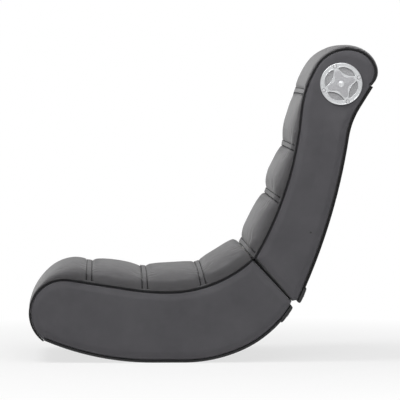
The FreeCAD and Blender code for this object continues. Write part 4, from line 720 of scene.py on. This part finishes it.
def puckered(pad, outline, crowns, depth=0.55):
    """Draw small puckers in beside the seams: a wave across the chair, its phase shaken by a
    slower wave, that dies away over some millimetres from each seam."""
    points = places(pad)
    lift, distance = lift_over(points, outline)
    side = points[:, 1]
    start, end = crowns[0][0], crowns[0][-1]
    near = np.exp(-np.abs(distance - start - 5) / 9.0) + np.exp(-np.abs(end - 5 - distance) / 9.0)
    phase = side / 17.0 * 2 * math.pi + 1.8 * np.sin(side / 53.0) + 1.1 * np.sin(side / 23.0 + start)
    amount = depth * near * np.sin(phase) * ease(lift, 8, 18)
    x, z, lean = along(outline, distance)
    out = np.radians(lean + 90)
    points[:, 0] += amount * np.cos(out)
    points[:, 2] += amount * np.sin(out)
    put_places(pad, points)
    return pad


def make_pad(node, body, outline, tilts, crowns, fill, ends=(True, True), most=4.5, at_fold=False,
             shrink=1.0):
    """One stuffed section of the cover in the place of its construction solid."""
    pad = pad_form(node + "_cover", outline, tilts, crowns, *ends, shrink=shrink)
    swell(pad, outline, crowns, most)
    puckered(pad, outline, crowns)
    dress(pad, PAD_CLOTH)
    if at_fold:
        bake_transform(pad)
    else:
        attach(pad, body)
    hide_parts(node)
    return pad


def between_seams(seams, first, *heights):
    """A full puff from one seam of a cover to the next."""
    return full_puff(seams[first] + SEAM_REACH, seams[first + 1] - SEAM_REACH, *heights)


THIGH_CROWNS = between_seams(SEAT_SEAMS, 0, 40.2, 52.0, 46.8)
MIDDLE_CROWNS = between_seams(SEAT_SEAMS, 1, 46.8, 58.2, 48.4)
SEAT_COVER = ("seat", SEAT_TOP, SEAT_TILTS)
BACK_COVER = ("back", BACK_FRONT, BACK_TILTS)
make_pad("seat_front_pad", *SEAT_COVER, FRONT_CROWNS, PAD_FILL, (False, True), 3.0, shrink=0.2)
make_pad("seat_thigh_pad", *SEAT_COVER, THIGH_CROWNS, PAD_FILL)
make_pad("seat_middle_pad", *SEAT_COVER, MIDDLE_CROWNS, PAD_FILL)
make_pad("seat_rear_pad", *SEAT_COVER, REAR_CROWNS, PAD_FILL, most=3.0, at_fold=True)
make_pad("back_lumbar_pad", *BACK_COVER, LUMBAR_CROWNS, PAD_FILL, most=3.0, at_fold=True)
make_pad("back_shoulder_pad", *BACK_COVER, SHOULDER_CROWNS, PAD_FILL)
make_pad("back_neck_pad", *BACK_COVER, NECK_CROWNS, PAD_FILL, most=3.0)
make_pad("headrest_pad", *BACK_COVER, HEAD_CROWNS, PAD_FILL, (True, False), 1.5, shrink=0.2)


# seams
STRIP_REACH = 6.7


def seam_strip(name, outline, tilts, seam, height):
    """The flat strip between two stitched lines: sections one after the other along the outline
    that bow up a little in the middle, on a body that goes down to the foot."""
    share = np.linspace(-1, 1, 13)
    distance = seam + share * STRIP_REACH
    high = height - 0.3 - share ** 4
    high[0], high[-1] = height - 9, height - 9
    distance[0], distance[-1] = distance[1], distance[-2]
    low_share = np.linspace(0, 1, 97)
    width = SEAM_WIDTH + 0.3 - 0.9 * share ** 4
    side, lift = across_cover(low_share[None, :], high[:, None], width[:, None] + 0 * low_share,
                              FOOT_WIDTH - 0.3)
    lift = lift + 0.22 * np.sin(side / 9.0 + 0.7 * np.sin(side / 31.0)) * ease(lift, 8, 20)
    points = cover_point(outline, tilts, distance[:, None] + 0 * lift, side, lift)
    middle = cover_point(outline, tilts, distance, np.zeros(13), high * 0.4)[:, None]
    points = np.concatenate((middle[:1] + 0 * points[:1], points, middle[-1:] + 0 * points[-1:]))
    return wrap(name, points)


STITCH = np.array([(math.cos(a) * r, math.sin(a) * r * 0.8, h) for r, h in
                   ((0.0, -0.5), (0.75, -0.42), (1.0, -0.15), (1.0, 0.15), (0.75, 0.42), (0.0, 0.5))
                   for a in np.linspace(0, 2 * math.pi, 6, endpoint=False)])
STITCH_FACES = grid_faces(6, 6, True)


def stitch_row(name, path, long=3.1, thick=0.55, pitch=4.3):
    """Stitches along a path: one small spindle form, set at equal steps of the path's length
    and turned to its direction."""
    path = np.asarray(path, float)
    step = np.linalg.norm(np.diff(path, axis=0), axis=1)
    travelled = np.concatenate(((0,), np.cumsum(step)))
    at = np.arange(pitch / 2, travelled[-1], pitch)
    place = np.stack([np.interp(at, travelled, path[:, axis]) for axis in range(3)], -1)
    ahead = np.stack([np.interp(at + 1, travelled, path[:, axis]) for axis in range(3)], -1) - place
    ahead /= np.maximum(np.linalg.norm(ahead, axis=1)[:, None], 1e-9)
    first = np.cross(ahead, (0.31, 0.2, 0.93))
    first /= np.linalg.norm(first, axis=1)[:, None]
    second = np.cross(ahead, first)
    points = (place[:, None] + thick * (STITCH[None, :, 0, None] * first[:, None]
              + STITCH[None, :, 1, None] * second[:, None])
              + long * STITCH[None, :, 2, None] * ahead[:, None])
    faces = (STITCH_FACES[None] + len(STITCH) * np.arange(len(at))[:, None, None]).reshape(-1, 4)
    return dress(sew_mesh(name, points, faces, close=0.004), THREAD)


def seam_lines(name, outline, tilts, seam, height):
    """Two rows of stitches, one along each edge of a seam strip."""
    rows = []
    share = np.linspace(0.02, 0.98, 400)
    for number, way in enumerate((-1, 1)):
        side, lift = across_cover(share, np.full(400, height - 0.5), np.full(400, SEAM_WIDTH))
        path = cover_point(outline, tilts, seam + way * (STRIP_REACH - 0.7) + 0 * lift, side, lift)
        rows.append(stitch_row("%s_stitches_%d" % (name, number + 1), path))
    return rows


FOLD_COVER = ("fold", BACK_FRONT, BACK_TILTS)
for seam_name, seam_cover, seam_at, seam_height in (
        ("front_seam", SEAT_COVER, SEAT_SEAMS[0], 42.6),
        ("thigh_seam", SEAT_COVER, SEAT_SEAMS[1], 49.2),
        ("middle_seam", SEAT_COVER, SEAT_SEAMS[2], 50.8),
        ("fold_seam", FOLD_COVER, FOLD_SEAM_AT, FOLD_SEAM_HEIGHT),
        ("lumbar_seam", BACK_COVER, BACK_SEAMS[0], 33.6),
        ("shoulder_seam", BACK_COVER, BACK_SEAMS[1], 22.4),
        ("neck_seam", BACK_COVER, BACK_SEAMS[2], 8.2)):
    seam_body, seam_outline, seam_tilts = seam_cover
    strip_piece = seam_strip(seam_name + "_strip", seam_outline, seam_tilts, seam_at, seam_height)
    dress(strip_piece, SEAM_CLOTH)
    seam_rows = seam_lines(seam_name, seam_outline, seam_tilts, seam_at, seam_height)
    for seam_piece in (strip_piece, *seam_rows):
        if seam_body == "fold":
            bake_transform(seam_piece)
        else:
            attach(seam_piece, seam_body)


def fold_lining(name, body, way, top, foot, thick=(0.65, 0.65)):
    """Black lining over the end of a half, where it meets the other at the fold: a thin sheet
    beside the hinges on each side and one over the whole width below them, with shallow ripples
    and a thickness that goes evenly from its top value to its foot value."""
    top, foot = np.array(top), np.array(foot)
    down = (foot - top) / np.linalg.norm(foot - top)
    out = np.array((-down[1], down[0])) * way
    sheets = []
    for number, (low, high, begin, end) in enumerate(((-205.6, -153.0, 0.0, 0.74), (153.0, 205.6, 0.0, 0.74),
                                                      (-205.6, 205.6, 0.745, 1.0))):
        share, side = np.meshgrid(np.linspace(begin, end, 60), np.linspace(low, high, 40), indexing="ij")
        ripple = 0.12 * np.sin(side / 3.1 + 2 * np.sin(share * 9.0))
        layers = []
        for stand in (0.1 + 0 * share, thick[0] + (thick[1] - thick[0]) * share):
            lift = stand + ripple * (stand > 0.5)
            x = top[0] + (foot[0] - top[0]) * share + out[0] * lift
            z = top[1] + (foot[1] - top[1]) * share + out[1] * lift
            layers.append(np.stack((x, side, z), -1))
        loop = np.concatenate((layers[0], layers[1][:, ::-1]), 1)
        closed = np.concatenate((loop[:1].mean(1, keepdims=True) + 0 * loop[:1], loop,
                                 loop[-1:].mean(1, keepdims=True) + 0 * loop[-1:]))
        sheets.append(wrap("%s_%d" % (name, number + 1), closed))
    piece = dress(joined(name, sheets), BACK_CLOTH)
    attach(piece, body)


fold_lining("seat_fold_lining", "seat", 1, (125.0, 248.0), (216.1, 149.9), (3.7, 1.4))
fold_lining("back_fold_lining", "back", -1, (129.0, 251.0), (218.6, 150.9))


# side panels
def spaced(points, count):
    """A chain of points at equal steps of its own length, its corners kept."""
    points = np.asarray(points, float)
    step = np.linalg.norm(np.diff(points, axis=0), axis=1)
    travelled = np.concatenate(((0,), np.cumsum(step)))
    at = np.linspace(0, travelled[-1], count)
    return np.stack([np.interp(at, travelled, points[:, axis]) for axis in range(2)], -1)


def edge_gap(points, rim):
    """Distance from each point to the nearest piece of a closed rim."""
    first, second = rim, np.roll(rim, -1, 0)
    run = second - first
    length = np.maximum((run ** 2).sum(-1), 1e-9)
    offset = points[:, None] - first[None]
    share = np.clip((offset * run[None]).sum(-1) / length[None], 0, 1)
    return np.sqrt(((offset - share[..., None] * run[None]) ** 2).sum(-1)).min(1)


def side_panel(name, upper, lower, way, keep_flat, keep_reach):
    """A padded side: the flat form ruled between an upper and a lower line, sampled closer
    near its rim. It stands out by a quarter round at the rim, 8 mm over the board, and swells by
    a little more over the first 20 mm from the rim, sinking back by 0.4 of that out to 70 mm, but not round a
    fitting."""
    rows, columns = 220, 58
    top, low = spaced(upper, rows), spaced(lower, rows)
    share = 0.5 - 0.5 * np.cos(np.linspace(0, math.pi, columns))
    flat = low[:, None] + (top - low)[:, None] * share[None, :, None]
    rim = np.concatenate((spaced(upper, 420), spaced(lower, 420)[::-1]))
    gap = edge_gap(flat.reshape(-1, 2), rim).reshape(rows, columns)
    wall = PANEL_FACE - PANEL_IN
    rise = wall * (1 - (1 - np.clip(gap / 4.5, 0, 1)) ** 2.2) ** 0.5
    clear = ease(np.hypot(flat[..., 0] - keep_flat[0], flat[..., 1] - keep_flat[1]),
                 keep_reach, keep_reach + 45)
    puff = PANEL_FULLNESS * (ease(gap, 1, 20) - 0.4 * ease(gap, 20, 70)) * clear
    soft = 0.25 * np.sin(flat[..., 0] / 31.0 + 0.6 * np.sin(flat[..., 1] / 47.0)) * ease(gap, 12, 40) * clear
    out = PANEL_IN + rise + puff + soft
    face = np.stack((flat[..., 0], way * out, flat[..., 1]), -1)
    inner = np.stack((flat[..., 0], way * (PANEL_IN + 0 * out), flat[..., 1]), -1)
    faces = np.concatenate((grid_faces(rows, columns),
                            grid_faces(rows, columns, start=rows * columns)[:, ::-1]))
    piece = sew_mesh(name, np.concatenate((face.reshape(-1, 3), inner.reshape(-1, 3))), faces, 0.03)
    return dress(piece, SIDE_CLOTH)


def inset_line(outline, inset, start=0.0):
    """Points of an outline from a start distance on, moved in by an inset."""
    distance = np.linspace(start, outline_length(outline), 500)
    x, z, lean = along(outline, distance)
    out = np.radians(lean + 90)
    return np.stack((x - inset * np.cos(out), z - inset * np.sin(out)), -1)


SEAT_SPLIT_FOOT = (216.9, 149.0)
BACK_SPLIT_FOOT = (219.0, 150.2)
seat_upper = np.concatenate((inset_line(SEAT_TOP, 1.0), [(122.0, 249.6)]))
seat_lower = np.concatenate((inset_line(ROCKER, -6.0), [(189.3, 105.5), (211.0, 135.4), SEAT_SPLIT_FOOT]))
back_upper = inset_line(BACK_FRONT, 1.0, 1.5)
back_lower = np.concatenate(([BACK_SPLIT_FOOT, (231.8, 152.0), (244.2, 180.4)],
                             inset_line(BACK_REAR, 6.0)[::-1]))
back_lower[-1] = back_upper[-1] + (2.0, -2.0)


def control_tool(way):
    """A rounded block through the side where the control plate sits."""
    half_x, half_z, corner = 65.6, 25.8, 4.0
    angle = np.radians(np.arange(0, 360, 10.0))
    x = CONTROL[0] + np.sign(np.cos(angle + 0.01)) * (half_x - corner) + corner * np.cos(angle)
    z = CONTROL[1] + np.sign(np.sin(angle + 0.01)) * (half_z - corner) + corner * np.sin(angle)
    ring = [np.stack((x, np.full(x.shape, way * out), z), -1) for out in (200.0, 225.0)]
    centre = [np.stack((0 * x + CONTROL[0], np.full(x.shape, way * out), 0 * z + CONTROL[1]), -1)
              for out in (200.0, 225.0)]
    return wrap("control_tool", np.stack((centre[0], ring[0], ring[1], centre[1])))


def make_side_panels():
    """Both side panels of seat and back, with the openings for controls and speakers."""
    for side in ("left", "right"):
        for body, upper, lower, spot, reach in (
                ("seat", seat_upper, seat_lower, CONTROL, 62.0),
                ("back", back_upper, back_lower, SPEAKER, 50.0)):
            node = "%s_side_panel_%s" % (body, side)
            low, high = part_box(node)
            way = 1.0 if low.y + high.y > 0 else -1.0
            has_control = body == "seat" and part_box("control_plate")[0].y * way > 0
            flat_spot = spot if body == "back" or has_control else (0.0, -900.0)
            panel = side_panel(node + "_cover", upper, lower, way, flat_spot, reach)
            if body == "back":
                bored(panel, turned("speaker_tool", ((0, 0), (45.5, 0), (45.5, 25), (0, 25)),
                                    (SPEAKER[0], way * 212.0 - 12.5, SPEAKER[1]), count=72))
            if has_control:
                bored(panel, control_tool(way))
            dress(panel, SIDE_CLOTH)
            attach(panel, body)
            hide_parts(node)


make_side_panels()


def welt(name, body, outline, knots, lifts):
    """The flat fold of cloth beside the piping: a thin oval cord along the foot of the cover,
    whose lift over the piping flows between knots, and sinks out of sight where the pad is thin."""
    distance = np.linspace(knots[0], knots[-1], 620)
    lift = flowing(knots, lifts, distance)
    no_tilts = ([0, 1000], [0, 0])
    for way in (-1, 1):
        line = cover_point(outline, no_tilts, distance, np.full(620, way * 212.6), lift)
        piece = dress(swept("%s_%d" % (name, way + 2), line, 1.7, 1.0), PAD_CLOTH)
        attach(piece, body)


welt("seat_welt", "seat", SEAT_TOP, [ROLL_LEAD, ROLL_LEAD + 80, SEAT_LENGTH - 70, SEAT_LENGTH - 3],
     [-1.0, 4.6, 4.6, 4.6])
welt("back_welt", "back", BACK_FRONT, [2.0, 60, 300, 420, 460], [4.6, 4.6, 4.4, 3.4, -1.0])


def bumper(node, body, first, last):
    """A moulded end bar: an oval of power 4 round the line of its CAD section, carried across
    the chair and drawn in by a quarter round over the last 5 mm at each end."""
    first, last = np.array(first), np.array(last)
    long = last - first
    wall = 4.95
    reach = np.linalg.norm(long) / 2 + 4.9
    ahead = long / np.linalg.norm(long)
    aside = np.array((-ahead[1], ahead[0]))
    turn = np.linspace(0, 2 * math.pi, 64, endpoint=False)
    cos, sin = np.cos(turn), np.sin(turn)
    round_reach = reach * np.sign(cos) * np.abs(cos) ** 0.5
    round_wall = wall * np.sign(sin) * np.abs(sin) ** 0.5
    inward = np.array((4.9, 2.6, 1.2, 0.35, 0.0))
    side = np.array((-212.6, -212.3, -211.4, -209.8, -207.5))
    inward = np.concatenate((inward, inward[::-1]))
    side = np.concatenate((side, -side[::-1]))
    shrink_reach = 1 - inward[:, None] / reach
    shrink_wall = 1 - inward[:, None] / wall
    flat = ((first + last) / 2 + (round_reach * shrink_reach)[..., None] * ahead
            + (round_wall * shrink_wall)[..., None] * aside)
    points = np.stack((flat[..., 0], side[:, None] + 0 * flat[..., 0], flat[..., 1]), -1)
    piece = dress(wrap(node + "_moulded", points), BUMPER)
    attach(piece, body)
    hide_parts(node)


bumper("seat_end_bumper", "seat", (193.49, 102.42), (215.24, 132.35))
bumper("back_end_bumper", "back", (236.58, 149.91), (248.99, 178.32))


def bolt_button(name, way):
    """The side bolt's domed cap: a lathe form that rises from the cloth in a quarter round."""
    cap = turned(name, ((0, 3.6), (1.4, 3.5), (2.7, 3.05), (3.6, 2.2), (4.0, 1.1), (4.15, 0.0), (4.15, -1.5),
                        (0, -1.5)), (SIDE_BOLT[0], way * 214.2, SIDE_BOLT[1]), (0, way, 0), 40)
    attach(dress(cap, BOLT_BLACK), "back")


bolt_button("side_bolt_cap_1", -1)
bolt_button("side_bolt_cap_2", 1)


# speakers
def grille_detail(side, way):
    """Ring bead, plain badge, window rims, pierced middle plate and screw collars of a grille. The
    screws stand a quarter turn apart, the windows between them, and the plate's reach swells
    towards the screws by a power of cos of twice the angle."""
    face = way * GRILLE_FACE
    screw_leans = [GRILLE_TURN + 90.0 * number for number in range(4)]
    pieces = []
    ring = turned("speaker_ring_" + side, (
        (48.7, -0.6), (48.8, 0.4), (49.2, 0.85), (49.8, 1.0), (50.5, 0.85), (51.1, 0.2), (51.5, -1.2),
        (51.6, -3.3), (50.6, -3.55), (48.7, -3.3), (48.7, -0.6)),
        (SPEAKER[0], face, SPEAKER[1]), (0, way, 0), 128)
    pieces.append(dress(ring, SILVER))
    badge = turned("speaker_badge_" + side, (
        (0, 1.9), (2.5, 1.85), (4.6, 1.6), (5.5, 1.15), (5.9, 1.5), (6.6, 1.6), (7.2, 1.1), (7.4, 0.2),
        (7.4, -0.8), (0, -0.8)), (SPEAKER[0], face, SPEAKER[1]), (0, way, 0), 64)
    pieces.append(dress(badge, SILVER))
    for number, lean in enumerate(lean + 45.0 for lean in screw_leans):
        turn = np.linspace(0, 2 * math.pi, 72, endpoint=False)
        reach = 23.6 * np.cos(turn)
        wide = 9.0 * np.sin(turn) * np.abs(np.sin(turn)) ** 0.35
        ahead = np.array((math.cos(math.radians(lean)), math.sin(math.radians(lean))))
        aside = np.array((-ahead[1], ahead[0]))
        centre = np.array(SPEAKER) + ahead * 33.2
        flat = centre + wide[:, None] * ahead + reach[:, None] * aside
        line = np.stack((flat[:, 0], np.full(72, face + way * 0.1), flat[:, 1]), -1)
        frame_piece = swept("speaker_window_%s_%d" % (side, number + 1), line, 0.7, 0.7, count=8, round_=True)
        pieces.append(dress(frame_piece, SILVER))
    share, turn = np.meshgrid(np.linspace(0, 1, 24), np.linspace(0, 2 * math.pi, 192, endpoint=False),
                              indexing="ij")
    reach = (20.5 + 17.0 * np.abs(np.cos(2 * (turn - math.radians(GRILLE_TURN)))) ** 3.2) * share
    dome = 0.75 * (1 - share ** 2) - 1.0 * ease(share, 0.9, 1.0) + 0.15
    star = np.stack((SPEAKER[0] + reach * np.cos(turn), face + way * dome,
                     SPEAKER[1] + reach * np.sin(turn)), -1)
    pieces.append(dress(wrap("speaker_star_" + side, np.concatenate(
        (star, star[-1:] * 0 + (SPEAKER[0], face - way * 0.8, SPEAKER[1])))), PIERCED))
    for number, lean in enumerate(screw_leans):
        spot = (SPEAKER[0] + 45.4 * math.cos(math.radians(lean)), face,
                SPEAKER[1] + 45.4 * math.sin(math.radians(lean)))
        collar = turned("speaker_screw_collar_%s_%d" % (side, number + 1), (
            (2.6, -0.5), (2.75, 0.35), (3.6, 0.5), (4.5, 0.3), (4.7, -0.5), (2.6, -0.5)),
            spot, (0, way, 0), 32)
        pieces.append(dress(collar, PANEL_PLASTIC))
    for piece in pieces:
        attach(piece, "back")


for side_name in ("left", "right"):
    grille_low, grille_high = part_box("speaker_grille_" + side_name)
    grille_detail(side_name, 1.0 if grille_low.y + grille_high.y > 0 else -1.0)


# knobs
def knob(node, body, x):
    """A knob with a fluted rim: the radius goes in and out 30 times round, fading to the top,
    with a raised pointer line on its cap."""
    low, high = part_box(node)
    way = 1.0 if low.y + high.y > 0 else -1.0
    foot, top = min(abs(low.y), abs(high.y)) * 1000, max(abs(low.y), abs(high.y)) * 1000
    radius = (high.z - low.z) * 500
    centre_z = (high.z + low.z) * 500
    heights = np.array((0.0, 0.02, 0.3, 0.7, 0.86, 0.95, 1.0, 1.0, 0.93, 0.93))
    radii = np.array((0.0, 0.99, 0.97, 0.95, 0.93, 0.87, 0.76, 0.66, 0.6, 0.0))
    flutes = np.array((0, 1, 1, 1, 0.8, 0.2, 0, 0, 0, 0))
    turn = np.linspace(0, 2 * math.pi, 240, endpoint=False)
    reach = radius * (radii[:, None] - 0.045 * flutes[:, None] * (0.5 + 0.5 * np.cos(30 * turn)))
    points = np.stack((x + reach * np.cos(turn), way * (foot + (top - foot) * heights[:, None] + 0 * reach),
                       centre_z + reach * np.sin(turn)), -1)
    piece = dress(wrap(node + "_fluted", points), KNOB_PLASTIC)
    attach(piece, body)
    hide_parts(node)
    pointer = swept(node + "_pointer", [(x, way * (top - 0.25), centre_z + radius * share)
                                        for share in np.linspace(0.2, 0.62, 8)], 0.5, 0.45, count=8)
    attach(dress(pointer, MARK_PAINT), body)


for knob_name, knob_x in KNOB_PLACES.items():
    knob(knob_name, knob_name, knob_x)


# floor, light and camera
def seen_rays(tree):
    """1 for rays that look at a thing straight, in a shine or through something clear, else 0."""
    rays = tree.nodes.new("ShaderNodeLightPath")
    seen = sum_of(tree, rays.outputs["Is Camera Ray"], rays.outputs["Is Glossy Ray"], "MAXIMUM")
    return sum_of(tree, seen, rays.outputs["Is Transmission Ray"], "MAXIMUM")


def mixed_end(tree, kind, share, first, second):
    """End a node tree in the mix of two shaders."""
    mixed = tree.nodes.new("ShaderNodeMixShader")
    end = tree.nodes.new(kind)
    tree.links.new(share, mixed.inputs[0])
    tree.links.new(first.outputs[0], mixed.inputs[1])
    tree.links.new(second.outputs[0], mixed.inputs[2])
    tree.links.new(mixed.outputs[0], end.inputs[0])


def make_floor():
    """A pale floor that keeps the chair's shadow near it and is plain white farther off."""
    angle = np.linspace(0, 2 * math.pi, 96, endpoint=False)
    radius = np.array((0.0, 400, 800, 1600, 4000, 12000, 40000))
    points = np.stack((radius[:, None] * np.cos(angle), radius[:, None] * np.sin(angle),
                       0 * radius[:, None] + 0 * angle - 0.3), -1)
    floor = wrap("studio_floor", points)
    material = bpy.data.materials.new("studio_floor")
    material.use_nodes = True
    tree = material.node_tree
    tree.nodes.clear()
    pale = tree.nodes.new("ShaderNodeBsdfDiffuse")
    pale.inputs["Color"].default_value = (0.82, 0.82, 0.82, 1)
    white = tree.nodes.new("ShaderNodeEmission")
    where = tree.nodes.new("ShaderNodeTexCoord")
    far = tree.nodes.new("ShaderNodeVectorMath")
    far.operation = "LENGTH"
    tree.links.new(where.outputs["Object"], far.inputs[0])
    share = between(tree, far.outputs["Value"], 0.5, 1.4, 0.72, 1.0)
    share = sum_of(tree, seen_rays(tree), share, "MULTIPLY")
    mixed_end(tree, "ShaderNodeOutputMaterial", share, pale, white)
    dress(floor, material)


def make_sky():
    """Even pale light from all round, and plain white where the camera sees it."""
    world = bpy.data.worlds.new("studio")
    bpy.context.scene.world = world
    world.use_nodes = True
    tree = world.node_tree
    tree.nodes.clear()
    glows = []
    for strength in (0.25, 1.0):
        glow = tree.nodes.new("ShaderNodeBackground")
        glow.inputs["Color"].default_value = (1, 1, 1, 1)
        glow.inputs["Strength"].default_value = strength
        glows.append(glow)
    mixed_end(tree, "ShaderNodeOutputWorld", seen_rays(tree), *glows)


def lamp(name, place, target, size, power):
    """A square soft light that faces a target."""
    light = bpy.data.lights.new(name, "AREA")
    light.shape = "SQUARE"
    light.size = size
    light.energy = power
    lamp_object = bpy.data.objects.new(name, light)
    bpy.context.scene.collection.objects.link(lamp_object)
    lamp_object.location = place
    aim = Vector(target) - Vector(place)
    lamp_object.rotation_euler = aim.to_track_quat("-Z", "Y").to_euler()


def make_camera():
    """The photograph's view: from the chair's side, 9 m off, turned 1.55 degrees to the back of
    the chair and looking 2.17 degrees down."""
    turn, dip, reach = math.radians(1.55), math.radians(2.17), 9.0
    look = Vector((math.sin(turn) * math.cos(dip), math.cos(turn) * math.cos(dip), -math.sin(dip)))
    centre = Vector((-0.0066, -0.214, 0.3969))
    data = bpy.data.cameras.new("photo_view")
    data.sensor_width = 36.0
    data.lens = 332.6
    camera = bpy.data.objects.new("photo_view", data)
    bpy.context.scene.collection.objects.link(camera)
    camera.location = centre - look * reach
    camera.rotation_euler = look.to_track_quat("-Z", "Y").to_euler()
    bpy.context.scene.camera = camera


make_floor()
make_sky()
lamp("front_light", (-0.95, -0.65, 2.05), (0.2, 0.0, 0.6), 0.9, 23.5)
lamp("top_light", (0.3, -0.2, 3.0), (0.1, 0.0, 0.3), 1.6, 6.5)
lamp("side_light", (0.6, -2.4, 2.4), (0.2, 0.0, 0.6), 1.5, 22.0)
lamp("head_light", (0.22, -0.75, 1.2), (0.33, -0.2, 0.68), 0.3, 1.2)
make_camera()
bpy.context.scene.view_settings.view_transform = "Standard"
